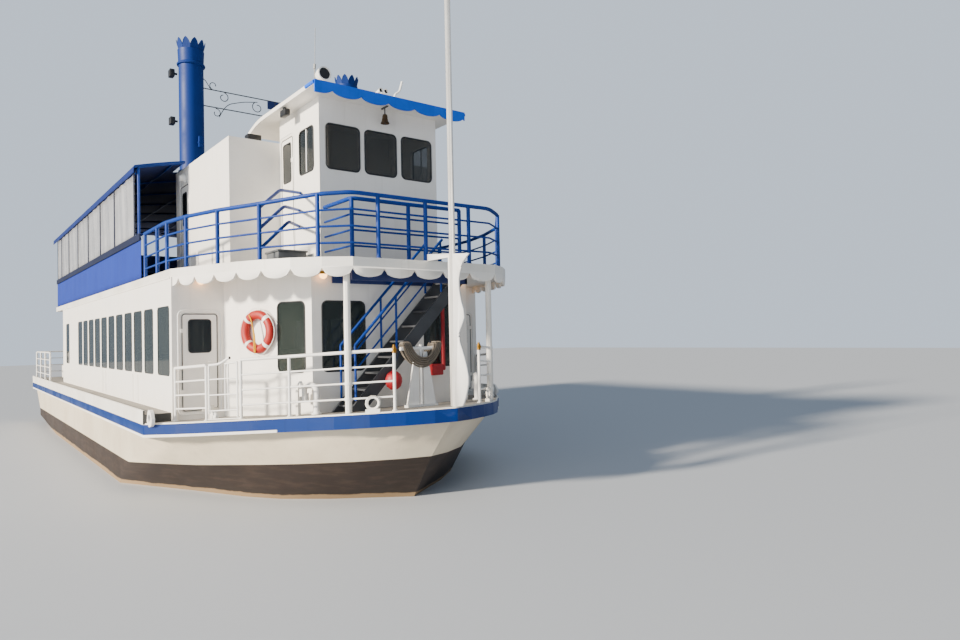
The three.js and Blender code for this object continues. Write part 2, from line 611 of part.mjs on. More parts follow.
function upperRail() {
  const path = [...RAIL_SIDE.map(([x, y]) => [x, -y]), ...RAIL_SIDE.slice().reverse()];
  const posts = SIDES.flatMap(([, side]) => RAIL_SIDE_POSTS.map(([x, y]) => [x, y * side]));
  posts.push(...RAIL_FRONT_POSTS.map((y) => [RAIL_CLIMB.to, y]));
  const rail = join(railing(path, posts, RAIL));
  const spots = rail.attributes.position;
  for (let i = 0; i < spots.count; i += 1) {
    const share = (spots.getX(i) - RAIL_CLIMB.from) / (RAIL_CLIMB.to - RAIL_CLIMB.from);
    const lift = (RAIL_CLIMB.by * Math.min(1, Math.max(0, share))) / RAIL.height;
    spots.setZ(i, spots.getZ(i) * (1 + lift));
  }
  return rail.translate(0, 0, GAP);
}

function stairwellGuard() {
  const path = [[8560, -1190], [9520, -1190], [9520, 900]];
  const posts = [path[0], path[1], [9520, -147], path[2]];
  return join(railing(path, posts, { ...RAIL, height: 1000 })).translate(0, 0, GAP);
}

// Stair from the foredeck up through the well: two stringers and open treads
function stairLine(z) {
  const head = UPPER.top - 20;
  const foot = FOREDECK_TOP;
  return STAIR.footY + ((z - foot) / (head - foot)) * (STAIR.headY - STAIR.footY);
}

function stairs() {
  const foot = FOREDECK_TOP - 100;
  const head = UPPER.top - 20;
  const width = STAIR.depth * 1.4;
  const outline = [[stairLine(foot), foot], [stairLine(foot) + width, foot],
    [STAIR.headY, head - STAIR.depth * 1.45], [STAIR.headY, head]];
  const parts = [];
  for (const x of [STAIR.aft + STAIR.stringer / 2, STAIR.front - STAIR.stringer / 2]) {
    parts.push(uprightPlate(outline, [x, 0, 0], [0, 1], STAIR.stringer));
  }
  const rise = (head - FOREDECK_TOP) / STAIR.treads;
  for (let i = 1; i < STAIR.treads; i += 1) {
    const z = FOREDECK_TOP + i * rise;
    const y = stairLine(z);
    parts.push(block([STAIR.aft + 10, STAIR.front - 10], [y, y + 230], [z - 30, z]));
  }
  return cut(join(parts), [foredeckWedge()]);
}

function stairRail(x) {
  const base = (z) => stairLine(z) - 20.4;
  const low = 1700;
  const high = 3500;
  const parts = [];
  for (const lift of [870, 480]) {
    parts.push(linkBar([x, base(low), low + lift], [x, base(high), high + lift], lift > 800 ? 24 : 16, 6));
  }
  for (const z of [low, 2500, high - 40]) {
    parts.push(bar([x, base(z), z], [x, base(z), z + 870], 20, 6));
  }
  return join(parts);
}

// Foredeck railing on each side, with its gate. A collar holds it to the bow post on the way.
const FORE_GATE = {
  from: [7820, 2930], to: [8310, 2545], nearGap: 64, farGap: 50, barZ: [150, 400, 650, 885],
};
const GATE_SILL = { z: 14, radius: 13 };
const FORE_RAIL_AFT = [[6975, 3185], FORE_GATE.from];
const FORE_RAIL_BOW = [FORE_GATE.to, [8940, 2010], [BOW_POST.x, BOW_POST.y], [10110, 820]];

function foredeckRail() {
  const [hinge, middle, pillar, end] = FORE_RAIL_BOW;
  const rails = [
    ...railing(FORE_RAIL_AFT, FORE_RAIL_AFT, { ...FORE_RAIL, height: FORE_RAIL.aftHeight }),
    ...railing(FORE_RAIL_BOW, [hinge, middle, end], FORE_RAIL),
    linkBar([...FORE_GATE.from, GATE_SILL.z], [...FORE_GATE.to, GATE_SILL.z], GATE_SILL.radius, 4),
  ];
  const topZ = FORE_RAIL.height - FORE_RAIL.topR;
  for (let level = 1; level <= RAIL.bars; level += 1) {
    const z = Math.min(topZ, (FORE_RAIL.height * level) / RAIL.bars - FORE_RAIL.topR);
    const half = BOW_POST.collarHeight / 2;
    rails.push(bar([...pillar, z - half], [...pillar, z + half], BOW_POST.collar, 10));
  }
  const bore = bar([...pillar, -100], [...pillar, FORE_RAIL.height + 100], BOW_POST.radius + 1, 10);
  return ontoForedeck(mirrorY(cut(join(rails), [bore])));
}

function foredeckGate() {
  const along = new THREE.Vector2(FORE_GATE.from[0] - FORE_GATE.to[0], FORE_GATE.from[1] - FORE_GATE.to[1]);
  const length = along.length();
  const unit = along.normalize();
  const at = (d) => [FORE_GATE.to[0] + unit.x * d, FORE_GATE.to[1] + unit.y * d];
  const near = at(FORE_GATE.nearGap);
  const far = at(length - FORE_GATE.farGap);
  const top = FORE_GATE.barZ[FORE_GATE.barZ.length - 1] + 20;
  const parts = FORE_GATE.barZ.map((z) => bar([...near, z], [...far, z], 13, 4));
  const sillTop = GATE_SILL.z + GATE_SILL.radius;
  parts.push(bar([...near, sillTop + 4], [...near, top], 17, 4));
  parts.push(bar([...near, sillTop + 2 * GAP], [...near, sillTop + 20], 6, 6)); // pivot pin on the sill
  parts.push(bar([...far, 100], [...far, top], 15, 4));
  return ontoForedeck(mirrorY(join(parts)));
}

// Guard rails of the aft decks
function sternRail() {
  const x = DECK_EDGE[0][0] + 120;
  const y = DECK_EDGE[0][1] - 120;
  const path = [[CABIN.aft - 300, -y], [x, -y], [x, y], [CABIN.aft - 300, y]];
  const runs = [4, 6, 4].map((count, i) => spread(path[i], path[i + 1], count));
  const posts = [...runs[0], ...runs[1].slice(1), ...runs[2].slice(1)];
  return join(railing(path, posts, FORE_RAIL)).translate(0, 0, MAIN_DECK_TOP + GAP);
}

function aftRail() {
  const x = UPPER.aft + 60;
  const path = [[x, -3080], [x, 3080]];
  return join(railing(path, spread(path[0], path[1], 6), RAIL)).translate(0, 0, GAP);
}

// Blank banner laced to the upper rail under the canopy, with the rail's top bar
function sidePanel() {
  const y = -UPPER.half + BANNER.inset;
  const height = BANNER.top - UPPER.top;
  const barZ = RAIL.height - RAIL.topR;
  const parts = [
    block([BANNER.aft, BANNER.front], [y, y + BANNER.thick], [10, height]),
    bar([BANNER.aft, y + 24, barZ], [BANNER.front, y + 24, barZ], RAIL.topR - 2, 6),
  ];
  for (const x of CANOPY_POSTS) {
    const at = x + 160;
    parts.push(bar([at, y + 34, 0], [at, y + 34, barZ], 22, 4));
  }
  return join(parts).translate(0, 0, GAP);
}

// Canopy on its pipe frame
const crownAt = (y) => CANOPY.rise * (1 - (y / CANOPY.half) ** 2);

function canopySection(lift, half, thick, fascia) {
  const steps = 10;
  const top = [];
  for (let i = 0; i <= steps; i += 1) {
    const y = half - (2 * half * i) / steps;
    top.push([y, lift + crownAt(y)]);
  }
  const under = top.map(([y, z]) => [y * (1 - thick / half), z - thick]).reverse();
  const section = [...top];
  if (fascia > 0) {
    section.push([-half, lift - fascia], [-half + thick, lift - fascia]);
  }
  section.push(...under);
  if (fascia > 0) {
    section.push([half - thick, lift - fascia], [half, lift - fascia]);
  }
  return section;
}

// Height of the canopy's faceted underside at a half breadth
function undersideAt(y) {
  const inner = CANOPY.half - CANOPY.thick;
  const below = CANOPY.edge - CANOPY.thick;
  const node = (i) => [inner - (2 * inner * i) / 10, below + crownAt(CANOPY.half * (1 - i / 5))];
  const i = Math.min(9, Math.floor(((inner - y) / (2 * inner)) * 10));
  const [a, b] = [node(i), node(i + 1)];
  return a[1] + ((a[0] - y) / (a[0] - b[0])) * (b[1] - a[1]);
}

function canopy() {
  const section = canopySection(CANOPY.edge, CANOPY.half, CANOPY.thick, CANOPY.fascia);
  const length = CANOPY.front - CANOPY.aft;
  const roof = uprightPlate(section, [CANOPY.aft + length / 2, 0, 0], [0, 1], length);
  const notchHalf = CASING.half + 60;
  const notch = block([CASING.aft - 60, CANOPY.front + 100], [-notchHalf, notchHalf], [5000, 8000]);
  return cut(roof, [notch]);
}

function canopyFrame() {
  const y = CANOPY.half - 110;
  const under = (at) => CANOPY.edge + crownAt(at) - CANOPY.thick - 34;
  const postTop = undersideAt(y + CANOPY_POST_R) - 0.4;
  const parts = [];
  for (const x of CANOPY_POSTS) {
    for (const [, side] of SIDES) {
      parts.push(bar([x, side * y, UPPER.top + GAP], [x, side * y, postTop], CANOPY_POST_R, 4));
    }
    if (x < CASING.aft - 100) {
      const crown = spread([-y, 0], [y, 0], 7).map(([at]) => [at, under(at)]);
      const bow = [...crown, ...crown.map(([at, z]) => [at, z - 40]).reverse()];
      parts.push(uprightPlate(bow, [x, 0, 0], [0, 1], 40));
    }
  }
  for (const [, side] of SIDES) {
    const ends = [CANOPY_POSTS[CANOPY_POSTS.length - 1] - 700, CANOPY_POSTS[0]];
    parts.push(bar([ends[0], side * y, under(y) - 8], [ends[1], side * y, under(y) - 8], 24, 4));
  }
  return join(parts);
}

function curtain() {
  const { low, high, thick, inset } = CURTAIN;
  const y = -CANOPY.half + inset;
  return block([CANOPY_POSTS[7] + 40, CANOPY_POSTS[0] - 40], [y, y + thick], [low, high]);
}

// Pilothouse, drawn with z = 0 at the upper deck
const PILOT_FRONT_WINDOWS = [[-755, 640], [-5, 640], [757, 650]]; // [y, width]
const PILOT_SIDE_WINDOW = { x: 7895, width: 590 };

function pilothouse() {
  const t = PLATE;
  const outer = block([PILOT.aft, PILOT.front], [-PILOT.half, PILOT.half], [GAP, PILOT.height]);
  const room = PILOT.half - t;
  const tools = [block([PILOT.aft + t, PILOT.front - t], [-room, room], [-100, PILOT.height + 100])];
  for (const [y, width] of PILOT_FRONT_WINDOWS) {
    tools.push(uprightPlate(roundedRect(width, PILOT_WINDOW.low, PILOT_WINDOW.high, PILOT_WINDOW.radius),
      [PILOT.front, y, 0], [0, 1], t * 4));
  }
  const seats = [];
  for (const [, side] of SIDES) {
    tools.push(uprightPlate(
      roundedRect(PILOT_SIDE_WINDOW.width, PILOT_WINDOW.low, PILOT_WINDOW.high, PILOT_WINDOW.radius),
      [PILOT_SIDE_WINDOW.x, side * PILOT.half, 0], [1, 0], t * 4));
    tools.push(forSide(hang(doorway(PILOT_DOOR), PILOT_DOOR_HINGE, Math.PI, false), side));
    for (const seat of doorSeats(PILOT_DOOR.height)) {
      seats.push(forSide(hang(seat, PILOT_DOOR_HINGE, Math.PI, false), side));
    }
  }
  const consoleDesk = block([PILOT.front - t - 480, PILOT.front - t + 10], [-850, 850], [60, 1050]);
  return join([cut(outer, tools), consoleDesk, ...seats]);
}

function pilotGlass() {
  const t = PLATE + GAP;
  const x = 7560;
  const path = [[x, -PILOT.half], [PILOT.front, -PILOT.half], [PILOT.front, PILOT.half], [x, PILOT.half]];
  return prism(wallOutline(path, 8, t), PILOT_WINDOW.low - 50, PILOT_WINDOW.high + 50);
}

// Roof edge from the front to the aft end, which droops: [x, height against the flat part]
const ROOF_LINE = [[PILOT_ROOF.front, 0], [6625, 0], [6250, -35], [5870, -128]];
const HORN = { aft: 8080, post: 8250, mouth: 8460, y: [-5, 100], lift: 270 };
const BELL = {
  x: 8560, y: 6, stem: 170, profile: [[0, -150], [60, -150], [82, -300], [105, -385], [70, -345], [0, -345]],
};
const RADAR = { x: 6900, y: 950, pillar: 640 };
const SEARCHLIGHT = { x: 8700, y: -1265, neck: 110, axis: 187, radius: 110, aft: -100, front: 110 };

function pilotRoof() {
  const low = PILOT.height + GAP;
  const corner = PILOT_ROOF.half;
  const profile = [...ROOF_LINE.map(([x, z]) => [x, low + PILOT_ROOF.thick + z]),
    ...ROOF_LINE.map(([x, z]) => [x, low + z]).reverse()];
  const lobes = scallops(ROOF_SCALLOP.width, ROOF_SCALLOP.lobes, ROOF_SCALLOP);
  const fascia = uprightPlate(lobes, [PILOT_ROOF.front - ROOF_SCALLOP.thick / 2, ROOF_SCALLOP.from, low + 20],
    [0, 1], ROOF_SCALLOP.thick);
  const width = block([0, PILOT_ROOF.front + 100], [-corner, corner], [0, low + 100]);
  const parts = [uprightPlate(profile, [0, 0, 0], [1, 0], 2 * corner), keepInside(fascia, width)];
  const top = low + PILOT_ROOF.thick - 5;
  // twin horns and the radar's pillar
  for (const y of HORN.y) {
    parts.push(bar([HORN.post, y, top], [HORN.post, y, top + HORN.lift], 14, 6));
    parts.push(bar([HORN.aft, y, top + HORN.lift], [HORN.mouth, y, top + HORN.lift], 30, 8));
  }
  parts.push(bar([RADAR.x, RADAR.y, top], [RADAR.x, RADAR.y, top + RADAR.pillar], 60, 8));
  // bell hung under the overhang
  parts.push(bar([BELL.x, BELL.y, low + 10], [BELL.x, BELL.y, low - BELL.stem], 12, 6));
  const bell = new THREE.LatheGeometry(BELL.profile.map(([r, z]) => new THREE.Vector2(r, z)).reverse(), 12);
  parts.push(bell.rotateX(Math.PI / 2).translate(BELL.x, BELL.y, low));
  return join(parts);
}

function radarScanner() {
  const parts = [
    bar([0, 0, 0], [0, 0, 70], 90, 12),
    block([-60, 60], [-600, 600], [60, 170]),
  ];
  return join(parts);
}

function searchlight() {
  const { neck, axis, radius, aft, front } = SEARCHLIGHT;
  return join([bar([0, 0, 0], [0, 0, neck], 40, 10), bar([aft, 0, axis], [front, 0, axis], radius, 14)]);
}

// Engine casing behind the pilothouse
function casing() {
  const w = CASING.wall;
  const outer = block([CASING.aft, CASING.front], [-CASING.half, CASING.half], [GAP, CASING.height]);
  const room = CASING.half - w;
  const inner = block([CASING.aft + w, CASING.front - w], [-room, room], [-100, CASING.height - w]);
  const tools = [inner, hang(doorway(CASING_DOOR), CASING_DOOR_HINGE, Math.PI, false)];
  const seats = doorSeats(CASING_DOOR.height).map((seat) => hang(seat, CASING_DOOR_HINGE, Math.PI, false));
  return join([cut(outer, tools), ...seats]);
}

// Ornamental stack: a plain pipe, a ring and a wider sleeve that ends in a crown of leaf-shaped petals
function stack() {
  const { radius, sleeve, wall } = STACK;
  const base = CASING.height + GAP;
  const top = STACK.top - UPPER.top;
  const ring = top - STACK.crown;
  const neck = top - PETAL.height;
  const profile = [[0, base], [radius, base], [radius, ring], [sleeve + 12, ring + 10],
    [sleeve + 12, ring + 50], [radius + 6, ring + 70], [sleeve, neck], [sleeve - wall, neck],
    [radius - wall, neck - 200], [0, neck - 200]];
  const pipe = new THREE.LatheGeometry(profile.map(([r, z]) => new THREE.Vector2(r, z)), 20);
  const parts = [pipe.rotateX(Math.PI / 2)];
  // a petal's outline: [share of its half breadth, share of its height]
  const leaf = [[-1, 0], [1, 0], [1.2, 0.4], [0.7, 0.8], [0, 1.12], [-0.7, 0.8], [-1.2, 0.4]]
    .map(([x, z]) => [x * PETAL.half, z * PETAL.height]);
  for (let i = 0; i < PETAL.count; i += 1) {
    const petal = prism(leaf, -PETAL.thick / 2, PETAL.thick / 2);
    petal.rotateX(Math.PI / 2 - PETAL.lean).rotateZ(-Math.PI / 2);
    petal.translate(sleeve - wall / 2, 0, neck - 25);
    parts.push(petal.rotateZ((i / PETAL.count) * Math.PI * 2));
  }
  return join(parts).translate(STACK.x, -STACK.y, 0);
}

const BRACE = { low: 4028, high: 4418, bar: 14, lattice: 12, plateHalf: 180 };

function stackBrace() {
  const { low, high, plateHalf } = BRACE;
  const reach = STACK.y - STACK.radius - GAP;
  const parts = [low, high].map((z) => bar([STACK.x, -reach, z], [STACK.x, reach, z], BRACE.bar, 4));
  const middle = (low + high) / 2;
  parts.push(uprightPlate([[-plateHalf, middle], [plateHalf, middle], [plateHalf, high], [-plateHalf, high]],
    [STACK.x, 0, 0], [0, 1], 20));
  parts.push(bar([STACK.x, 0, low], [STACK.x, 0, high], BRACE.bar, 4));
  for (const [, side] of SIDES) {
    for (const y of [1500, 400]) {
      parts.push(bar([STACK.x, side * y, low], [STACK.x, side * 900, high], BRACE.lattice, 4));
    }
  }
  return join(parts);
}

// Stem board with its wavy front edge, carrying the jackstaff
const STEM_EDGE = [[10744, 1618], [10826, 1760], [10900, 2000], [10860, 2220], [10773, 2441], [10677, 2656],
  [10707, 2778], [10830, 2989], [10737, 3268], [10705, 3469], [10723, 3622], [10820, 3812], [10980, 3930]];
const STEM_BOARD = { aft: 10450, thick: 36, samples: 26, arm: [9870, 4030] };
const JACKSTAFF = { x: 10545, radius: 46, top: 9000, truck: 62 };

function stemBoard() {
  const { aft, thick, samples, arm } = STEM_BOARD;
  const { x, radius, top, truck } = JACKSTAFF;
  const deckZ = FOREDECK_TOP + GAP + riseAt(RISE_END);
  const edge = new THREE.SplineCurve(STEM_EDGE.map(([ex, ez]) => new THREE.Vector2(ex, ez)));
  const outline = [[aft, deckZ], [RISE_END, deckZ], ...edge.getPoints(samples).map((p) => [p.x, p.y]), arm,
    [arm[0], UPPER.top + GAP], [aft, UPPER.top + GAP]];
  const board = uprightPlate(outline, [0, 0, 0], [1, 0], thick);
  const pole = bar([x, 0, deckZ], [x, 0, top], radius, 10);
  return join([board, pole, bar([x, 0, top - 20], [x, 0, top + 60], truck, 10)]);
}

// Rope stand, across the deck: two tapered plates on a foot bar, a middle post and a top bar
const STAND = {
  x: 9620, y: -20, half: 390, foot: 60, plateTop: 900, barZ: 960, coilDrop: 400, coilHole: 210,
};

function ropeStand() {
  const { half, foot, plateTop, barZ } = STAND;
  const parts = [block([-foot, foot], [-half * 0.75, half * 0.75], [0, 40])];
  for (const [, side] of SIDES) {
    const plate = [[50, 20], [half * 0.73, 20], [half * 0.3, plateTop], [45, plateTop]];
    parts.push(uprightPlate(side > 0 ? plate : plate.map(([y, z]) => [-y, z]), [0, 0, 0], [0, 1], 30));
  }
  parts.push(bar([0, 0, 20], [0, 0, barZ + 60], 26, 8));
  parts.push(bar([0, -half, barZ], [0, half, barZ], 30, 8));
  return ontoForedeck(join(parts).translate(STAND.x, STAND.y, 0));
}

// Hank of mooring rope slung over the stand's top bar: one closed form of its outer shape
function ropeCoil() {
  const { half, coilDrop, coilHole, barZ } = STAND;
  const points = [];
  for (const [radius, from, to] of [[coilDrop, 0, 1], [coilHole, 1, 0]]) {
    for (let i = 0; i <= 10; i += 1) {
      const angle = Math.PI * (1 + from + ((to - from) * i) / 10);
      points.push([radius * Math.cos(angle), radius * Math.sin(angle)]);
    }
  }
  const parts = [];
  for (const [, side] of SIDES) {
    const end = side * (half - 80);
    parts.push(uprightPlate(points, [side * 92, 0, barZ + 32], [0, 1], 120));
    parts.push(block([-150, 150], [end - 80, end + 80], [barZ + 31, barZ + 100]));
  }
  return ontoForedeck(join(parts).translate(STAND.x, STAND.y, 0));
}

const LIFEBUOY = { ring: 290, tube: 78, share: 0.437, z: 2827 };

function lifebuoy() {
  const { tube, share, z } = LIFEBUOY;
  const ring = new THREE.TorusGeometry(LIFEBUOY.ring, tube, 6, 20);
  const away = new THREE.Vector3(HOUSE_SLANT[1], -HOUSE_SLANT[0], 0).normalize();
  const facing = new THREE.Quaternion().setFromUnitVectors(new THREE.Vector3(0, 0, 1), away);
  const [x, y] = onSlant(share);
  const off = tube * Math.sin(Math.PI / 3) + GAP;
  return ring.applyQuaternion(facing).translate(x + away.x * off, -y + away.y * off, z);
}

// Screws and rudders
function propeller() {
  const profile = [[0, -90], [70, -90], [75, 0], [60, 110], [0, 150]];
  const hub = new THREE.LatheGeometry(profile.map(([r, z]) => new THREE.Vector2(r, z)), 14)
    .rotateX(Math.PI / 2).rotateY(-Math.PI / 2);
  const parts = [hub];
  for (let i = 0; i < 4; i += 1) {
    const blade = new THREE.Shape();
    blade.moveTo(-45, 40);
    blade.quadraticCurveTo(-150, 180, -60, SHAFT.propR - 20);
    blade.quadraticCurveTo(0, SHAFT.propR + 10, 70, SHAFT.propR - 40);
    blade.quadraticCurveTo(120, 160, 45, 40);
    const plate = new THREE.ExtrudeGeometry(blade, { depth: 16, bevelEnabled: false, curveSegments: 2 });
    plate.translate(0, 0, -8).rotateY(0.6 + Math.PI / 2);
    plate.rotateX((i * Math.PI) / 2);
    parts.push(plate);
  }
  return join(parts);
}

function rudder() {
  const low = RUDDER.low - RUDDER.top;
  const { lead, trail, thick } = RUDDER;
  const section = [[lead, 0], [lead - 60, thick / 2], [-trail, 8], [-trail, -8], [lead - 60, -thick / 2]];
  const blade = prism(section, low, -40);
  return join([blade, bar([0, 0, -60], [0, 0, -0.5], 45, 10)]);
}

// Assembly
place(ferry, 'hull', hull(), 'white');
place(ferry, 'rub_band', rubBand(), 'blue');
place(ferry, 'foredeck', foredeck(), 'deck');
place(ferry, 'main_deck', mainDeck(), 'deck');
place(ferry, 'cabin_aft_wall', aftWall(), 'white');
place(ferry, 'forward_house', forwardHouse(), 'white');
place(ferry, 'house_glass', houseGlass(), 'glass');
place(ferry, 'upper_deck', upperDeck(), 'white');
place(ferry, 'deck_valance', deckValance(), 'white');
place(ferry, 'stairs', stairs(), 'dark');
place(ferry, 'stair_rail_fwd', stairRail(STAIR.front - 20), 'railBlue');
place(ferry, 'stair_rail_aft', stairRail(STAIR.aft + 20), 'railBlue');
place(ferry, 'stern_rail', sternRail(), 'white');
place(ferry, 'stem_board', stemBoard(), 'white');
place(ferry, 'rope_stand', ropeStand(), 'white');
place(ferry, 'rope_coil', ropeCoil(), 'rope');
place(ferry, 'canopy', canopy(), 'canopy');
place(ferry, 'canopy_frame', canopyFrame(), 'railBlue');

const topside = new THREE.Group();
topside.position.z = UPPER.top;
ferry.add(topside);
place(topside, 'upper_rail', upperRail(), 'railBlue');
place(topside, 'stairwell_guard', stairwellGuard(), 'railBlue');
place(topside, 'aft_rail', aftRail(), 'railBlue');
place(topside, 'pilothouse', pilothouse(), 'white');
place(topside, 'pilothouse_glass', pilotGlass(), 'glass');
place(topside, 'pilothouse_roof', pilotRoof(), 'blue');
place(topside, 'casing', casing(), 'white');
place(topside, 'stack_brace', stackBrace(), 'dark');
const BENCH_ROWS = spread([-6600, 0], [1400, 0], 6).map(([x]) => x);
const SALOON_ROWS = spread([-5200, 0], [5600, 0], 8).map(([x]) => x);
const roofTop = PILOT.height + GAP + PILOT_ROOF.thick;
place(topside, 'searchlight', searchlight(), 'dark')
  .position.set(SEARCHLIGHT.x, SEARCHLIGHT.y, roofTop + GAP);
place(topside, 'radar_scanner', radarScanner(), 'white')
  .position.set(RADAR.x, RADAR.y, roofTop + RADAR.pillar - 4.5);

function hangDoor(group, name, door, hinge, heading, mirrored) {
  const leaf = place(group, name, mirrored ? mirrorY(doorLeaf(door)) : doorLeaf(door), 'white');
  leaf.position.set(...hinge);
  leaf.rotation.z = heading;
}

hangDoor(ferry, 'cabin_door_aft', AFT_DOOR, AFT_DOOR_HINGE, -Math.PI / 2, true);
hangDoor(topside, 'casing_door', CASING_DOOR, CASING_DOOR_HINGE, Math.PI, false);

for (const [label, side] of SIDES) {
  const across = side === STARBOARD ? 1 : -1;
  const atSide = ([x, y, z]) => [x, y * across, z];
  place(ferry, `cabin_side_${label}`, forSide(cabinSide(), side), 'white');
  place(ferry, `cabin_glass_${label}`, forSide(cabinGlass(), side), 'glass');
  const saloonSeats = benches(SALOON_ROWS, [-3050, -1350], MAIN_DECK_TOP);
  place(ferry, `saloon_seats_${label}`, forSide(saloonSeats, side), 'seat');
  place(ferry, `lifebuoy_${label}`, forSide(lifebuoy(), side), 'orange');
  place(ferry, `foredeck_rail_${label}`, forSide(foredeckRail(), side), 'white');
  place(ferry, `foredeck_gate_${label}`, forSide(foredeckGate(), side), 'white');
  place(topside, `side_panel_${label}`, forSide(sidePanel(), side), 'banner');
  place(ferry, `curtain_${label}`, forSide(curtain(), side), 'curtain');
  place(topside, `deck_benches_${label}`, forSide(benches(BENCH_ROWS, [-2850, -650], 0), side), 'seat');
  place(topside, `stack_${label}`, forSide(stack(), side), 'blue');
  place(ferry, `propeller_${label}`, propeller(), 'bronze')
    .position.set(SHAFT.propX, SHAFT.y * side, SHAFT.z);
  place(ferry, `rudder_${label}`, rudder(), 'dark').position.set(RUDDER.x, SHAFT.y * side, RUDDER.top);
  hangDoor(ferry, `cabin_door_${label}`, CABIN_DOOR, atSide(CABIN_DOOR_HINGE), (Math.PI / 2) * across,
    across === 1);
  hangDoor(topside, `pilothouse_door_${label}`, PILOT_DOOR, atSide(PILOT_DOOR_HINGE), Math.PI, across !== 1);
}

export default ferry;
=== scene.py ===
# %% [markdown]
# # A two-deck passenger ferry
# The ferry's solids come packed from CAD. This notebook loads them as a fixed frame, in metres, with
# +X to the bow, +Y to port and z = 0 at the waterline, and dresses them with detail and paint.

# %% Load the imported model
import math
import bpy
import bmesh
from mathutils import Matrix, Vector


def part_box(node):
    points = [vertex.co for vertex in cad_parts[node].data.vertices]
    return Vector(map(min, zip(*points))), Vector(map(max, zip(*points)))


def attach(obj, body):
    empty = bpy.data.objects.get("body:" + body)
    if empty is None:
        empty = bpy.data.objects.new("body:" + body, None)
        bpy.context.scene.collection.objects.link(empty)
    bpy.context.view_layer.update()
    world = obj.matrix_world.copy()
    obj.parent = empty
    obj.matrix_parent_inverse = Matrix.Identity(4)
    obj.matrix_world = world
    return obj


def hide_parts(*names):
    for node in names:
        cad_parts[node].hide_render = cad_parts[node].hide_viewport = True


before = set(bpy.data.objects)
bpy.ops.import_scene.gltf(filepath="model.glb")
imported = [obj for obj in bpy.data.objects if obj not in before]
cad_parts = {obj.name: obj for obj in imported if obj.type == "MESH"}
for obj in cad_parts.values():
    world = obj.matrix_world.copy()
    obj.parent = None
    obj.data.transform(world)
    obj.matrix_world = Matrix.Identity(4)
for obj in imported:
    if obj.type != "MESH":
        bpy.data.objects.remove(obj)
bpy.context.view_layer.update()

# %% [markdown]
# The camera stands off the starboard bow, a little above the rub band. Its place was solved from the
# vessel's right angles, so the same lens and the same three axes give the same picture.

# %% Camera
CAMERA_AT = Vector((19.236, -6.272, 2.688))
CAMERA_RIGHT = Vector((0.6154, 0.7883, -0.021))
CAMERA_FORWARD = Vector((-0.788, 0.6158, 0.0224))
LENS, SENSOR_WIDTH, SIGHT_END = 25.875, 36, 500  # the first two in millimetres

lens = bpy.data.cameras.new("bow_camera")
lens.lens, lens.sensor_width, lens.clip_end = LENS, SENSOR_WIDTH, SIGHT_END
camera = bpy.data.objects.new("bow_camera", lens)
up = CAMERA_RIGHT.cross(CAMERA_FORWARD).normalized()
right = CAMERA_FORWARD.cross(up).normalized()
axes = Matrix((right, up, -CAMERA_FORWARD.normalized())).transposed()
camera.matrix_world = Matrix.Translation(CAMERA_AT) @ axes.to_4x4()
bpy.context.scene.collection.objects.link(camera)
bpy.context.scene.camera = camera
print("camera looks along", tuple(round(v, 3) for v in CAMERA_FORWARD))

# %% [markdown]
# ## Writing node trees
# Shapes and paints are both made with node trees here. A few helpers write them: one adds a node and
# joins it up, one does arithmetic, one starts a Geometry Nodes tree with named inputs and one ends it.
# Every tree ends in Realize Instances and Set Material.

# %% Helpers for node trees
def fill(tree, node, inputs):
    """Sets a node's inputs, by name or number, or links them where the value is a node's output."""
    for key, value in inputs.items():
        if isinstance(value, bpy.types.NodeSocket):
            tree.links.new(value, node.inputs[key])
        else:
            node.inputs[key].default_value = value


def wire(tree, kind, inputs=None, **settings):
    """Adds a node with its options and inputs, and gives back its outputs."""
    made = tree.nodes.new(kind)
    for key, value in settings.items():
        setattr(made, key, value)
    fill(tree, made, inputs or {})
    return made.outputs


def calc(tree, operation, *values):
    return wire(tree, "ShaderNodeMath", dict(enumerate(values)), operation=operation)[0]


def new_tree(name, **numbers):
    """A Geometry Nodes tree with named number inputs and a material, and its start node's outputs."""
    tree = bpy.data.node_groups.new(name, "GeometryNodeTree")
    sockets = tree.interface
    sockets.new_socket("Geometry", in_out="INPUT", socket_type="NodeSocketGeometry")
    for label, value in numbers.items():
        kind = "NodeSocketInt" if isinstance(value, int) else "NodeSocketFloat"
        sockets.new_socket(label, in_out="INPUT", socket_type=kind).default_value = value
    sockets.new_socket("Material", in_out="INPUT", socket_type="NodeSocketMaterial")
    sockets.new_socket("Geometry", in_out="OUTPUT", socket_type="NodeSocketGeometry")
    return tree, tree.nodes.new("NodeGroupInput").outputs


def end_tree(tree, source, start):
    real = wire(tree, "GeometryNodeRealizeInstances", {0: source})[0]
    painted = wire(tree, "GeometryNodeSetMaterial", {"Geometry": real, "Material": start["Material"]})[0]
    wire(tree, "NodeGroupOutput", {0: painted})
    return tree


def end_swept(tree, start, curve, ring, **more):
    """Ends a tree by sweeping a ring along a curve, shaded smooth."""
    swept = wire(tree, "GeometryNodeCurveToMesh", {"Curve": curve, "Profile Curve": ring, **more})[0]
    return end_tree(tree, wire(tree, "GeometryNodeSetShadeSmooth", {"Geometry": swept})[0], start)


def circle(tree, resolution, radius):
    return wire(tree, "GeometryNodeCurvePrimitiveCircle", {"Resolution": resolution, "Radius": radius})[0]


def as_curve(tree, start):
    return wire(tree, "GeometryNodeMeshToCurve", {"Mesh": start["Geometry"]})[0]


print("tree helpers:", ", ".join(f.__name__ for f in (fill, wire, calc, new_tree, end_tree, end_swept)))

# %% [markdown]
# ## Bars from edges
# Railings, pipes and trims are all a line with a round section. One tree does them: it reads loose edges,
# turns them to curves and sweeps a circle whose size comes from a point attribute called half. The result
# is kept as a plain mesh, so nothing depends on a modifier afterwards.

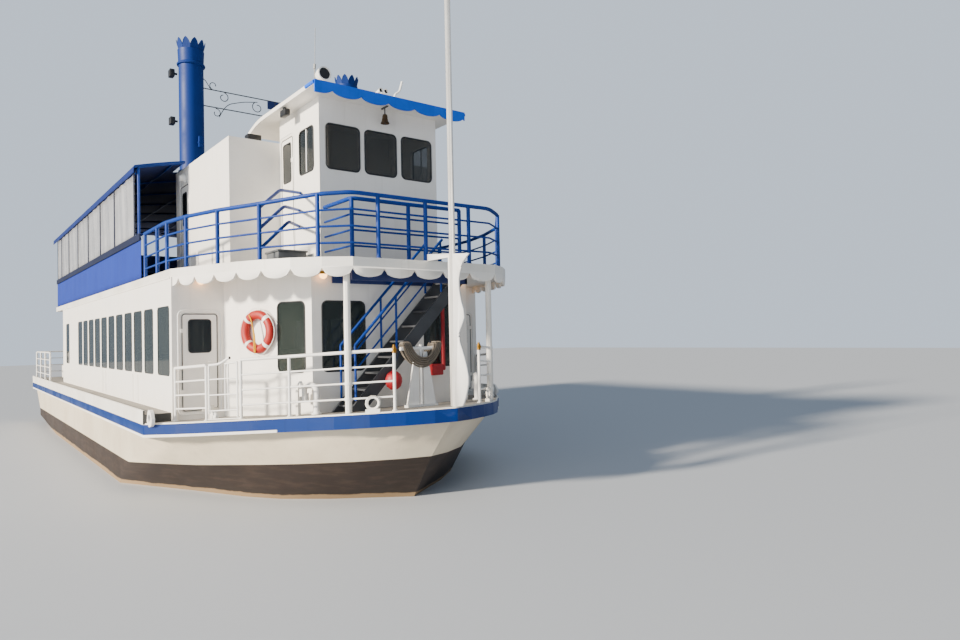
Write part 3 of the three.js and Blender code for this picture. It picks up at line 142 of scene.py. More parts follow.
# %% Tree that sweeps bars
tree, start = new_tree("swept_bars", Sides=12)
half_width = wire(tree, "GeometryNodeInputNamedAttribute", {"Name": "half"})["Attribute"]
BARS = end_swept(tree, start, as_curve(tree, start), circle(tree, start["Sides"], 1.0),
                 **{"Scale": half_width, "Fill Caps": True})
print("bar tree nodes:", len(BARS.nodes))

# %% From a tree to a plain piece
def new_object(name, mesh):
    piece = bpy.data.objects.new(name, mesh)
    bpy.context.scene.collection.objects.link(piece)
    return piece


def grow(name, base, tree, values, finish):
    """Runs a tree on a base mesh and keeps the result as a plain mesh of its own."""
    seed = new_object(name + "_seed", base)
    modifier = seed.modifiers.new("grow", "NODES")
    modifier.node_group = tree
    sockets = {s.name: s.identifier for s in tree.interface.items_tree if s.in_out == "INPUT"}
    for label, value in {**values, "Material": finish}.items():
        modifier[sockets[label]] = value
    bpy.context.view_layer.update()
    seen = seed.evaluated_get(bpy.context.evaluated_depsgraph_get())
    mesh = bpy.data.meshes.new_from_object(seen)
    bpy.data.objects.remove(seed)
    if "half" in mesh.attributes:
        mesh.attributes.remove(mesh.attributes["half"])
    mesh.name = name
    return mesh


def line_mesh(lines):
    """Loose edges from [(points, half width)], with the half width as a point attribute."""
    points, edges, halves = [], [], []
    for path, half in lines:
        first = len(points)
        points += [tuple(p) for p in path]
        edges += [(first + i, first + i + 1) for i in range(len(path) - 1)]
        halves += [half] * len(path)
    mesh = bpy.data.meshes.new("lines")
    mesh.from_pydata(points, edges, [])
    mesh.attributes.new("half", "FLOAT", "POINT").data.foreach_set("value", halves)
    return mesh


def settle(piece, body="vessel", stands_for=()):
    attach(piece, body)
    if stands_for:
        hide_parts(*stands_for)
    print(f"{piece.name}: {len(piece.data.polygons)} faces, on {body}")
    return piece


def bars(name, lines, finish, body="vessel", stands_for=(), sides=12):
    mesh = grow(name, line_mesh(lines), BARS, {"Sides": sides}, finish)
    return settle(new_object(name, mesh), body, stands_for)


# %% [markdown]
# ## Mooring line
# A hank of mooring line hangs over the crossbar of its stand on the foredeck. A real hank is one long
# rope laid in even turns, so the path here is a single line: each turn hangs down in front of the bar,
# climbs over its end, hangs down behind and comes back. Turns lie beside each other, then in a second
# and a third layer. The section has three lobes and twists along the rope, as laid rope does.

# %% Route of the hank
ROPE = 0.026
TURN_STEP = 0.0285  # from a turn to the next one
FOREDECK_AFT, FOREDECK_LOW, BOW_CLIMB = 6.9, 1.3606, 0.24 / 3.7
HANK_X, HANK_Y = 9.62, -0.02
STAND_BAR = 0.9945  # top of the stand's crossbar above the deck
HANG_HALF, OVER_BAR, UNDER_BAR, HANG_STRETCH = 0.052, 0.17, 0.25, 1.28
STEPS, TURNS = 72, 4
LAYERS = [(0.365, 0.235), (0.235, 0.365), (0.365, 0.235)]  # radius of each layer's first and last turn


def foredeck_height(x):
    return FOREDECK_LOW + max(0.0, x - FOREDECK_AFT) * BOW_CLIMB


def hank_point(turn, radius, layer):
    """A point of the hank: turn in radians, radius of the loop, and how far out the layer lies."""
    across, down = math.cos(turn), math.sin(turn)
    out = TURN_STEP * layer
    drop = math.sqrt(down * down + UNDER_BAR * UNDER_BAR) - UNDER_BAR
    z = STAND_BAR + ROPE / 2 + out - radius * HANG_STRETCH * drop
    return Vector((HANK_X + (HANG_HALF + out) * down / math.hypot(down, OVER_BAR), HANK_Y + radius * across,
                   z + foredeck_height(HANK_X)))


hank = []
for layer, (first, last) in enumerate(LAYERS):
    count = TURNS * STEPS
    hank += [hank_point(2 * math.pi * i / STEPS, first + (last - first) * (i / count), layer)
             for i in range(count)]
    if layer < len(LAYERS) - 1:
        hank += [hank_point(2 * math.pi * i / STEPS, last, layer + i / STEPS) for i in range(STEPS)]

# %% [markdown]
# ## Finishes
# Everything on a working vessel is painted, and what makes paint look real is what the weather does to
# it: soft clouds of fading, thin streaks where rain runs down, and specks of dirt. These are one node
# group, placed in every finish with its own amounts. A second group gives the slight ripple of paint
# over plate, and a third the weave of cloth. All of them read Object coordinates, which are metres.

# %% Colours, noise and soft steps
def rgba(code):
    """Linear colour from a hex code."""
    steps = [int(code[i:i + 2], 16) / 255 for i in (0, 2, 4)]
    return [s / 12.92 if s <= 0.04045 else ((s + 0.055) / 1.055) ** 2.4 for s in steps] + [1.0]


def blend(tree, share, first, second):
    """A mix of two colours, each of them a hex code or a node's output."""
    first, second = (rgba(c) if isinstance(c, str) else c for c in (first, second))
    return wire(tree, "ShaderNodeMix", {0: share, 6: first, 7: second}, data_type="RGBA")[2]


def band(tree, value, low, high):
    """0 below low, 1 above high, smooth between."""
    return wire(tree, "ShaderNodeMapRange", {0: value, 1: low, 2: high, 3: 0.0, 4: 1.0},
                interpolation_type="SMOOTHSTEP")[0]


def under(tree, value, low, high):
    """1 below low, 0 above high, smooth between."""
    return calc(tree, "SUBTRACT", 1.0, band(tree, value, low, high))


def noise(tree, vector, scale, detail=3.0, roughness=0.55):
    return wire(tree, "ShaderNodeTexNoise",
                {"Vector": vector, "Scale": scale, "Detail": detail, "Roughness": roughness})[0]


def stretched(tree, vector, scale):
    return wire(tree, "ShaderNodeMapping", {"Vector": vector, "Scale": scale})[0]


def bump(tree, strength, distance, height):
    return wire(tree, "ShaderNodeBump", {"Strength": strength, "Distance": distance, "Height": height})[0]


def object_place(tree):
    return tree.nodes.new("ShaderNodeTexCoord").outputs["Object"]


def apart(tree, vector):
    return wire(tree, "ShaderNodeSeparateXYZ", {0: vector})


print("middle grey in linear light:", round(rgba("808080")[0], 3))

# %% Node groups shared by the finishes
def new_group(name, inputs, outputs):
    tree = bpy.data.node_groups.new(name, "ShaderNodeTree")
    for label, value in inputs.items():
        tree.interface.new_socket(label, in_out="INPUT", socket_type="NodeSocketFloat").default_value = value
    for label in outputs:
        kind = "NodeSocketVector" if label == "Normal" else "NodeSocketFloat"
        tree.interface.new_socket(label, in_out="OUTPUT", socket_type=kind)
    return tree, tree.nodes.new("NodeGroupInput").outputs, tree.nodes.new("NodeGroupOutput")


WEATHER, start, end = new_group("weather", {"Scale": 1.0}, ("Clouds", "Streaks", "Specks"))
place = object_place(WEATHER)
clouds = noise(WEATHER, place, calc(WEATHER, "MULTIPLY", start["Scale"], 0.8), 5.0)
streaks = noise(WEATHER, stretched(WEATHER, place, (9.0, 9.0, 0.45)), start["Scale"], 4.0, 0.6)
specks = noise(WEATHER, place, calc(WEATHER, "MULTIPLY", start["Scale"], 38.0), 2.0)
fill(WEATHER, end, {"Clouds": band(WEATHER, clouds, 0.38, 0.68), "Streaks": band(WEATHER, streaks, 0.52, 0.74),
                    "Specks": band(WEATHER, specks, 0.66, 0.74)})

RIPPLE, start, end = new_group("ripple", {"Scale": 6.0, "Depth": 0.002}, ("Normal",))
place = object_place(RIPPLE)
broad = noise(RIPPLE, place, start["Scale"], 2.0)
fine = noise(RIPPLE, place, calc(RIPPLE, "MULTIPLY", start["Scale"], 24.0), 2.0)
fill(RIPPLE, end, {0: bump(RIPPLE, 0.5, start["Depth"], calc(RIPPLE, "MULTIPLY_ADD", fine, 0.12, broad))})

WEAVE, start, end = new_group("weave", {"Threads": 300.0}, ("Thread", "Normal"))
place = object_place(WEAVE)
waves = [wire(WEAVE, "ShaderNodeTexWave", {"Vector": place, "Scale": start["Threads"], "Distortion": 0.6,
                                           "Detail": 0.0}, wave_type="BANDS", bands_direction=axis)["Fac"]
         for axis in "XYZ"]
thread = calc(WEAVE, "MULTIPLY", calc(WEAVE, "MAXIMUM", waves[0], waves[1]), waves[2])
fill(WEAVE, end, {"Thread": thread, "Normal": bump(WEAVE, 0.35, 0.0006, thread)})
print("shared groups:", WEATHER.name, RIPPLE.name, WEAVE.name)

# %% Painted surfaces
def new_material(name):
    material = bpy.data.materials.new(name)
    material.use_nodes = True
    return material, material.node_tree


def finished(material, inputs):
    """Fills the inputs of a material's own shader."""
    fill(material.node_tree, material.node_tree.nodes["Principled BSDF"], inputs)
    return material


def weathered(tree, base, dirt, clouds, streaks, scale=1.0, specks=0.25):
    """A colour faded and streaked towards a dirt colour, and the outputs of the weather group."""
    weather = wire(tree, "ShaderNodeGroup", {"Scale": scale}, node_tree=WEATHER)
    amount = calc(tree, "MULTIPLY", weather["Clouds"], clouds)
    amount = calc(tree, "MULTIPLY_ADD", weather["Streaks"], streaks, amount)
    amount = calc(tree, "MULTIPLY_ADD", weather["Specks"], specks * clouds, amount)
    return blend(tree, amount, base, dirt), weather


def rippled(tree, scale, depth):
    return wire(tree, "ShaderNodeGroup", {"Scale": scale, "Depth": depth}, node_tree=RIPPLE)[0]


def paint(name, colour, dirt, rough=0.38, clouds=0.25, streaks=0.2, scale=1.0, depth=0.002, metallic=0.0,
          shine=0.5):
    material, tree = new_material(name)
    tinted, weather = weathered(tree, colour, dirt, clouds, streaks, scale)
    return finished(material, {
        "Base Color": tinted, "Roughness": calc(tree, "MULTIPLY_ADD", weather["Clouds"], 0.22, rough),
        "Metallic": metallic, "Specular IOR Level": shine, "Normal": rippled(tree, 5.0, depth)})


WHITE = paint("house_white", "f4f0e8", "beb6a6", 0.4, 0.2, 0.12)
TRIM_WHITE = paint("trim_white", "f2f0eb", "c2bcae", 0.3, 0.2, 0.1, 2.0, 0.001)
BLUE = paint("band_blue", "002a70", "002052", 0.5, 0.3, 0.2, 1.4, shine=0.25)
# The roof board's blue is lighter than the band's: blue paint with painted skylight, for a face that stays out of the
# sun.
BOARD_BLUE_PAINTED_SKYLIGHT = paint("board_blue_painted_skylight", "0f62dc", "0a4cb0", 0.5, 0.3, 0.2, 1.4, shine=0.3)
RAIL_BLUE = paint("rail_blue", "003486", "002760", 0.45, 0.35, 0.15, 3.0, 0.001, shine=0.3)
NAVY = paint("navy_panel", "04215e", "04153a", 0.4, 0.3, 0.2)
DARK = paint("dark_steel", "3b3d41", "24262a", 0.55, 0.4, 0.2, 2.0)
BLACK = paint("black_paint", "17181a", "2b2c2e", 0.35, 0.3, 0.1, 3.0)
RED = paint("red_paint", "a80f1c", "66101a", 0.4, 0.3, 0.2, 3.0)
GREY = paint("grey_paint", "9d9c98", "75726c", 0.5, 0.3, 0.2, 2.0)
GREY_DARK = paint("locker_grey", "5d6062", "414446", 0.5, 0.3, 0.2, 2.0)
GASKET = paint("rubber_gasket", "26282a", "3d3e3f", 0.7, 0.3, 0.1, 4.0)
BELL_BRONZE = paint("bell_bronze", "5a4630", "2e2418", 0.45, 0.5, 0.2, 6.0, 0.001, 0.6)
BRASS = paint("brass", "a8792f", "54401f", 0.3, 0.35, 0.1, 6.0, 0.001, 1.0)
SEAT = paint("seat_plastic", "24417e", "1a2f5b", 0.45, 0.3, 0.1, 3.0)
BUOY = paint("buoy_orange", "a01004", "8f1d0a", 0.5, 0.35, 0.1, 4.0)
print("paints:", len(bpy.data.materials))

# %% [markdown]
# The hull carries three finishes on one plate: cream topsides, a dark anti-fouling bottom with a crisp
# line that climbs a little towards the bow, and a tan fringe of growth along the waterline. The line's
# height is worked out from Object coordinates, so it follows the hull wherever it is looked at.

# %% Hull paint
LINE_LOW, LINE_CLIMB, LINE_CURVE = 0.5, 0.25, 1.35  # height of the painted line, and how it rises

HULL_PAINT, tree = new_material("hull_paint")
place = object_place(tree)
x, _, z = apart(tree, place)
forward = wire(tree, "ShaderNodeMapRange", {0: x, 1: 4.9, 2: 9.9, 3: 0.0, 4: 1.0})[0]
line = calc(tree, "MULTIPLY_ADD", calc(tree, "POWER", forward, LINE_CURVE), LINE_CLIMB, LINE_LOW)
top_share = band(tree, calc(tree, "SUBTRACT", z, line), -0.004, 0.004)
# The cream topside is darker and warmer than the house's white: cream paint with painted shade and a painted warm
# reflection of the water.
topside_with_painted_shade, weather = weathered(tree, "dccfb6", "a3927a", 0.3, 0.12)
scrape = noise(tree, stretched(tree, place, (1.2, 1.2, 7.0)), 2.2, 5.0)
bottom = blend(tree, band(tree, scrape, 0.42, 0.7), "251a14", "33261e")
bottom = blend(tree, calc(tree, "MULTIPLY", under(tree, z, 0.1, 0.24), 0.5), bottom, "241b15")
fringe_top = calc(tree, "MULTIPLY_ADD", noise(tree, place, 3.5, 3.0), 0.07, 0.045)
fringe = under(tree, calc(tree, "SUBTRACT", z, fringe_top), -0.012, 0.012)
bottom = blend(tree, fringe, bottom, "8f7656")
dull = calc(tree, "MULTIPLY_ADD", top_share, -0.25, 0.62)
finished(HULL_PAINT, {"Base Color": blend(tree, top_share, bottom, topside_with_painted_shade), "Normal": rippled(tree, 1.6, 0.006),
                      "Roughness": calc(tree, "MULTIPLY_ADD", weather["Clouds"], 0.15, dull)})
print("hull paint nodes:", len(tree.nodes))

# %% [markdown]
# The rub band is blue with a white strip along its lower edge, which ends where the bow's deeper band
# starts. The decks are grey non-skid on what faces up, and white on the sides and the raised rim.

# %% Rub band and deck paint
STRIP_TOP, BAND_TOP, BOW_BAND_FROM = 1.172, 1.338, 8.90

RUB_PAINT, tree = new_material("rub_band_paint")
x, _, z = apart(tree, object_place(tree))
climb = calc(tree, "MULTIPLY", calc(tree, "MAXIMUM", calc(tree, "SUBTRACT", x, FOREDECK_AFT), 0.0), BOW_CLIMB)
level = calc(tree, "SUBTRACT", z, climb)
upper = calc(tree, "MAXIMUM", band(tree, level, STRIP_TOP - 0.002, STRIP_TOP + 0.002),
             band(tree, x, BOW_BAND_FROM - 0.01, BOW_BAND_FROM + 0.01))
blue_share = calc(tree, "MULTIPLY", upper, under(tree, level, BAND_TOP - 0.001, BAND_TOP + 0.001))
blue, weather = weathered(tree, "002a6c", "002052", 0.3, 0.25, 1.4)
white = weathered(tree, "f1eee8", "bfb8ab", 0.25, 0.15, 2.0)[0]
finished(RUB_PAINT, {"Base Color": blend(tree, blue_share, white, blue), "Normal": rippled(tree, 3.0, 0.004),
                     "Roughness": calc(tree, "MULTIPLY_ADD", weather["Clouds"], 0.2, 0.33),
                     "Specular IOR Level": 0.25})


def deck_paint(name, rim, painted_riser_shade=0.0):
    """Non-skid inside the rim, at y = rim; faces turned to the bow get a dark painted shade, scaled by the last
    argument.
    """
    material, tree = new_material(name)
    place = object_place(tree)
    normal_x, _, normal_z = apart(tree, tree.nodes.new("ShaderNodeNewGeometry").outputs["Normal"])
    inboard = under(tree, calc(tree, "ABSOLUTE", apart(tree, place)[1]), rim - 0.002, rim + 0.002)
    tread = calc(tree, "MULTIPLY", band(tree, normal_z, 0.6, 0.8), inboard)
    grit = noise(tree, place, 160.0, 2.0)
    worn = weathered(tree, "8f8980", "6c655c", 0.5, 0.0, 0.9, 0.5)[0]
    worn = blend(tree, calc(tree, "MULTIPLY", grit, 0.35), worn, "a9a399")
    sides = weathered(tree, "f1ede4", "b9b09f", 0.3, 0.2)[0]
    # Faces turned to the bow, such as the raised side deck's forward ends, are blended to dark grey: painted shade.
    sides = blend(tree, calc(tree, "MULTIPLY", band(tree, normal_x, 0.7, 0.9), painted_riser_shade), sides, "3c3d3c")
    return finished(material, {
        "Base Color": blend(tree, tread, sides, worn), "Roughness": calc(tree, "MULTIPLY_ADD", tread, 0.45, 0.4),
        "Normal": bump(tree, 0.5, 0.0012, calc(tree, "MULTIPLY", grit, tread))})


NO_RIM = 9.0
MAIN_DECK_PAINT = deck_paint("main_deck_paint", 3.64, 1.0)
FOREDECK_PAINT = deck_paint("foredeck_paint", NO_RIM)
UPPER_DECK_PAINT = deck_paint("upper_deck_paint", NO_RIM)
print("deck paints:", MAIN_DECK_PAINT.name, FOREDECK_PAINT.name, UPPER_DECK_PAINT.name)

# %% [markdown]
# Cloth and clear sheet are different from paint: cloth shows its weave and hardly shines, and the clear
# curtains are milky with age, so the light passes through them but shapes behind stay vague.

# %% Cloth, clear sheet, glass and rope
def cloth(name, colour, shade, threads, clouds=0.35):
    material, tree = new_material(name)
    weave = wire(tree, "ShaderNodeGroup", {"Threads": threads}, node_tree=WEAVE)
    faded = weathered(tree, colour, shade, clouds, 0.2, 1.2, 0.1)[0]
    return finished(material, {
        "Base Color": blend(tree, calc(tree, "MULTIPLY", weave["Thread"], 0.3), faded, shade),
        "Roughness": 0.85, "Sheen Weight": 0.04, "Specular IOR Level": 0.2, "Normal": weave["Normal"]})


def window_glass(name, colour, cover, shine):
    """Tinted glass with a little dust: cover is how much it hides of what is behind."""
    material, tree = new_material(name)
    dusty, weather = weathered(tree, colour, "5c5f59", 0.12, 0.18, 1.4, 0.5)
    return finished(material, {
        "Base Color": dusty, "Roughness": calc(tree, "MULTIPLY_ADD", weather["Streaks"], 0.08, 0.04),
        "Alpha": cover, "Specular IOR Level": shine, "Coat Weight": shine, "Normal": rippled(tree, 1.2, 0.002)})


CURTAIN_CLEAR, tree = new_material("clear_curtain")
haze, weather = weathered(tree, "b4b5b8", "8b8c8e", 0.4, 0.5, 1.5)
finished(CURTAIN_CLEAR, {
    "Base Color": haze, "Roughness": calc(tree, "MULTIPLY_ADD", weather["Streaks"], 0.2, 0.22),
    "Alpha": 0.93, "Coat Weight": 0.4, "Normal": rippled(tree, 3.0, 0.01)})

ROPE_FIBRE, tree = new_material("rope_fibre")
strands = noise(tree, object_place(tree), 420.0, 2.0)
soiled = weathered(tree, "72685a", "453c33", 0.7, 0.1, 6.0, 0.5)[0]
finished(ROPE_FIBRE, {"Base Color": blend(tree, calc(tree, "MULTIPLY", strands, 0.5), soiled, "93887a"),
                      "Roughness": 0.9, "Normal": bump(tree, 0.6, 0.0012, strands)})

LAMP, tree = new_material("lamp_glow")
glow = weathered(tree, "ffc27a", "ff9d4a", 0.5, 0.0, 20.0)[0]
finished(LAMP, {"Base Color": glow, "Emission Color": glow, "Emission Strength": 6.0})

CANOPY_CLOTH = cloth("canopy_cloth", "0a2568", "05143a", 260.0)
BANNER_CLOTH = cloth("banner_vinyl", "18328c", "122670", 200.0, 0.25)
WEBBING = cloth("webbing", "101a38", "0a1022", 500.0)
WEBBING_YELLOW = cloth("yellow_line", "d8a21c", "a87812", 500.0)
SALOON_GLASS = window_glass("saloon_glass", "262d29", 0.7, 0.3)
# The door glass is near black and almost opaque: its tint is real, and the dark room behind it is painted in as
# shade.
DOOR_GLASS_PAINTED_SHADE = window_glass("door_glass_painted_shade", "0c0f0f", 0.97, 0.4)
PILOT_GLASS = window_glass("pilot_glass", "151a1a", 0.48, 0.5)
print("materials:", len(bpy.data.materials))

# %% [markdown]

# %% [markdown]
# The rope itself is grown along its route: the tree lays new points every centimetre, turns the section
# steadily by setting the curve's tilt from its length, and sweeps a circle pushed into three lobes. That
# is how three strands lie in a laid rope, and it shows as real grooves, not only as a bump.

# %% Rope tree and the hank
LAY, ROPE_POINTS, STRANDS, GROOVE = 0.1, 0.0115, 3.0, 0.11  # one full twist is LAY metres long

tree, start = new_tree("laid_rope", Half=0.0125, Lay=LAY, Step=ROPE_POINTS)
even = wire(tree, "GeometryNodeResampleCurve", {"Curve": as_curve(tree, start), "Length": start["Step"]},
            mode="LENGTH")[0]
along = tree.nodes.new("GeometryNodeSplineParameter").outputs["Length"]
twist = calc(tree, "MULTIPLY", calc(tree, "DIVIDE", along, start["Lay"]), 2 * math.pi)
twisted = wire(tree, "GeometryNodeSetCurveTilt", {"Curve": even, "Tilt": twist})[0]
spot = tree.nodes.new("GeometryNodeInputPosition").outputs[0]
x, y, _ = apart(tree, spot)
lobe = calc(tree, "COSINE", calc(tree, "MULTIPLY", calc(tree, "ARCTAN2", y, x), STRANDS))
size = calc(tree, "MULTIPLY", calc(tree, "MULTIPLY_ADD", lobe, GROOVE, 1.0 - GROOVE), start["Half"])
scaled = wire(tree, "ShaderNodeVectorMath", {0: spot, "Scale": size}, operation="SCALE")[0]
lobes = wire(tree, "GeometryNodeSetPosition", {"Geometry": circle(tree, 12, 1.0), "Position": scaled})[0]
ROPE_TREE = end_swept(tree, start, twisted, lobes, **{"Fill Caps": True})

hank_mesh = grow("mooring_hank", line_mesh([(hank, ROPE / 2)]), ROPE_TREE,
                 {"Half": ROPE / 2, "Lay": LAY, "Step": ROPE_POINTS}, ROPE_FIBRE)
hank_piece = settle(new_object("mooring_hank", hank_mesh), stands_for=["rope_coil"])
whipping = bars("rope_whippings", [([end, end.lerp(near, 0.6)], 0.0145) for end, near in (hank[:2], hank[:-3:-1])],
                WEBBING)
print("hank faces:", len(hank_mesh.polygons))

# %% [markdown]
# ## Paint on the CAD pieces
# A CAD node whose shape is right stays as it is and only gets a better finish. The table names each
# finish and the nodes that wear it.

# %% Finishes of the CAD nodes that stay
WORN_BY = [
    (MAIN_DECK_PAINT, ["main_deck"]),
    (FOREDECK_PAINT, ["foredeck"]),
    (UPPER_DECK_PAINT, ["upper_deck"]),
    (WHITE, ["cabin_aft_wall", "forward_house", "cabin_side_stbd", "cabin_side_port", "pilothouse", "casing",
             "cabin_door_aft", "casing_door", "cabin_door_stbd", "cabin_door_port", "pilothouse_door_stbd",
             "pilothouse_door_port"]),
    (TRIM_WHITE, ["rope_stand"]),
    (DARK, ["stairs", "rudder_stbd", "rudder_port"]),
    (SEAT, ["saloon_seats_stbd", "saloon_seats_port", "deck_benches_stbd", "deck_benches_port"]),
    (BRASS, ["propeller_stbd", "propeller_port"]),
]
for finish, nodes in WORN_BY:
    for node in nodes:
        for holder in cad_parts[node].material_slots:
            holder.material = finish
print("dressed nodes:", sum(len(nodes) for _, nodes in WORN_BY))

# %% [markdown]
# ## Railings
# The rails are welded from round pipe: thick posts on small flanges, a handrail on top and thinner bars
# between. The CAD holds them with flat sides, which is right for its job. Here the same lines are swept
# round again, and the handrail's corners are bent to arcs, as a pipe bender leaves them.

# %% Bent pipes, posts and flanges
DECK_TOP, STERN_TOP = 3.9203, 1.5003  # tops of the upper deck and of the stern platform
SIDES = (("stbd", -1), ("port", 1))
ARC_SHARE = 0.48  # the most of a leg that an arc may take
FLANGE_THICK = 0.014


def evenly(start, end, steps):
    return [start + (end - start) * i / steps for i in range(steps + 1)]


def mirrored(path, side):
    return [(x, side * y) for x, y in path]


def bent(points, reach=0.12, steps=5):
    """The same path with each corner turned into an arc."""
    points = [Vector(p) for p in points]
    path = [points[0]]
    for before, corner, after in zip(points, points[1:], points[2:]):
        back, ahead = before - corner, after - corner
        start = corner + back.normalized() * min(reach, back.length * ARC_SHARE)
        end = corner + ahead.normalized() * min(reach, ahead.length * ARC_SHARE)
        for share in evenly(0, 1, steps):
            path.append(start.lerp(corner, share).lerp(corner.lerp(end, share), share))
    return path + [points[-1]]


def upright(x, y, low, high, half):
    return [(x, y, low), (x, y, high)], half


def post(x, y, floor, top, half, flange=0.05):
    """An upright pipe and the flange it stands on."""
    return [upright(x, y, floor, top, half), upright(x, y, floor, floor + FLANGE_THICK, flange)]


def rail_lines(path, posts, floor, levels, size, reach=0.12, grown=lambda x: 1.0, bar_bend=(0.04, 2)):
    """Bars at each level along a path of (x, y), the last level being the handrail, and its posts."""
    lines = []
    for level in levels:
        line = [(x, y, floor(x) + level * grown(x)) for x, y in path]
        top = level == levels[-1]
        lines.append((bent(line, *((reach, 6) if top else bar_bend)), size["top" if top else "bar"]))
    for x, y in posts:
        lines += post(x, y, floor(x), floor(x) + levels[-1] * grown(x), size["post"])
    return lines


print("a square corner bends into", len(bent([(0, 0, 0), (1, 0, 0), (1, 1, 0)])) - 2, "points")

# %% Blue rails of the upper deck
BLUE_SIZE = {"post": 0.034, "top": 0.034, "bar": 0.017}
RAIL_SIDE = [(4.68, 3.135), (6.2, 3.135), (7.04, 3.005), (7.89, 2.75), (8.75, 2.38), (9.53, 1.77), (9.81, 1.34)]
SIDE_POSTS = [(4.7, 3.135), (5.635, 3.135), (6.28, 3.123)] + RAIL_SIDE[2:-1]


def upper_floor(x):
    return DECK_TOP


def near_bow(x):
    """The upper rail grows taller over the last metre before the bow."""
    return 1.0 if x < 8.8 else 1.0 + 0.12 / 0.91 * min(1.0, (x - 8.8) / 1.01)


upper_posts = [spot for _, side in SIDES for spot in mirrored(SIDE_POSTS, side)]
upper_posts += [(9.81, y) for y in (-0.885, 0.0, 0.885)]
well_path = [(8.56, -1.19), (9.52, -1.19), (9.52, 0.9)]
aft_posts = [(-7.64, -3.08 + 6.16 * i / 5) for i in range(6)]
bars("upper_rail_pipes", rail_lines(mirrored(RAIL_SIDE, -1) + RAIL_SIDE[::-1], upper_posts, upper_floor,
                                    (0.1975, 0.425, 0.6525, 0.88), BLUE_SIZE, 0.14, near_bow),
     RAIL_BLUE, stands_for=["upper_rail"])
bars("stairwell_pipes", rail_lines(well_path, well_path[1:] + [(9.52, -0.147)], upper_floor,
                                   (0.22, 0.47, 0.72, 0.97), BLUE_SIZE), RAIL_BLUE, stands_for=["stairwell_guard"])
bars("aft_rail_pipes", rail_lines([aft_posts[0], aft_posts[-1]], aft_posts, upper_floor,
                                  (0.198, 0.426, 0.653, 0.879), BLUE_SIZE), RAIL_BLUE, stands_for=["aft_rail"])

# %% White rail of the stern
WHITE_SIZE = {"post": 0.027, "top": 0.026, "bar": 0.0145}
WHITE_LEVELS = (0.2175, 0.455, 0.6925, 0.93)
stern_corners = [(-6.4, -3.55), (-10.21, -3.55), (-10.21, 3.55), (-6.4, 3.55)]
stern_posts = [stern_corners[0]]
for start, end, steps in zip(stern_corners, stern_corners[1:], (3, 5, 3)):
    stern_posts += [tuple(Vector(start).lerp(Vector(end), share)) for share in evenly(0, 1, steps)[1:]]
bars("stern_rail_pipes", rail_lines(stern_corners, stern_posts, lambda x: STERN_TOP, WHITE_LEVELS, WHITE_SIZE, 0.2),
     TRIM_WHITE, stands_for=["stern_rail"])

# %% [markdown]
# The foredeck rail is white. Its handrail sweeps up past the gate and runs on to a brass fitting beyond
# the bow post. The gate is a piece of its own, because it swings: everything on it rides on its body.

# %% Foredeck rails and gates
GATE_AFT, GATE_FORE = Vector((7.82, 2.93)), Vector((8.31, 2.545))
GATE_HINGE, GATE_TIP = GATE_FORE.lerp(GATE_AFT, 0.1027), GATE_FORE.lerp(GATE_AFT, 0.9198)
BOW_POST_AT, RAIL_END = (9.69, 1.384), (10.11, 0.82)
AFT_LEVELS = (0.2, 0.425, 0.65, 0.88)
FORE_BENDS = {"reach": 0.25, "bar_bend": (0.05, 6)}


def on_foredeck(x, y, height):
    return (x, y, foredeck_height(x) + height)


def gate_bar(half, *spots):
    """A bar of the gate through spots of (share of the gate's width, height)."""
    along = [(GATE_HINGE.lerp(GATE_TIP, share), height) for share, height in spots]
    return [on_foredeck(at.x, side * at.y, height) for at, height in along], half


for side_name, side in SIDES:
    aft_run = mirrored([(6.975, 3.185), GATE_AFT], side)
    fore_run = mirrored([GATE_FORE, (8.94, 2.01), BOW_POST_AT, RAIL_END], side)
    lines = rail_lines(aft_run, [], foredeck_height, AFT_LEVELS, WHITE_SIZE, **FORE_BENDS)
    lines += rail_lines(fore_run, [], foredeck_height, WHITE_LEVELS, WHITE_SIZE, **FORE_BENDS)
    for feet, top, half in ((aft_run, AFT_LEVELS[-1], 0.025),
                            (fore_run[:2] + fore_run[3:], WHITE_LEVELS[-1], 0.024)):
        for x, y in feet:
            lines += post(x, y, foredeck_height(x) - 0.002, foredeck_height(x) + top, half, 0.045)
    lines.append(([on_foredeck(*aft_run[1], 0.014), on_foredeck(*fore_run[0], 0.014)], 0.012))
    for level in WHITE_LEVELS:
        x, y, z = on_foredeck(*fore_run[2], level)
        lines.append(upright(x, y, z - 0.02, z + 0.02, 0.062))
    bars(f"foredeck_rail_pipes_{side_name}", lines, TRIM_WHITE, stands_for=[f"foredeck_rail_{side_name}"])

    gate = [gate_bar(0.011, (0, z), (1, z)) for z in (0.15, 0.40, 0.65)]
    gate += [gate_bar(0.017, (0, 0.034), (0, 0.9)), gate_bar(0.008, (0, 0.03), (0, 0.05)),
             gate_bar(0.015, (1, 0.1), (1, 0.875))]
    gate += [gate_bar(0.012, (share, 0.15), (share, 0.885)) for share in (0.32, 0.43)]
    gate.append(gate_bar(0.015, (0, 0.9), (0.43, 0.885)))
    handrail, half = gate_bar(0.02, (1, 0.88), (0.62, 0.885), (0.36, 0.96), (0.28, 0.975))
    gate.append((bent(handrail, 0.1, 6), half))
    body = f"foredeck_gate_{side_name}"
    bars(f"foredeck_gate_pipes_{side_name}", gate, TRIM_WHITE, body, [body])
    bars(f"gate_rail_cap_{side_name}", [gate_bar(0.022, (0.28, 0.974), (0.25, 0.977))], BLACK, body)
    x, y, z = on_foredeck(*fore_run[3], WHITE_LEVELS[-1])
    bars(f"rail_end_{side_name}", [([(x - 0.02, y, z), (x + 0.03, y, z)], 0.03),
                                   upright(x, y, z - 0.05, z + 0.045, 0.034),
                                   upright(x, y, z + 0.045, z + 0.075, 0.02)], BRASS)

# %% Handrails of the stair
STAIR_FOOT, STAIR_HEAD = (-1.42, 1.3603), (0.9997, 3.9)  # y and z of the stair's two ends


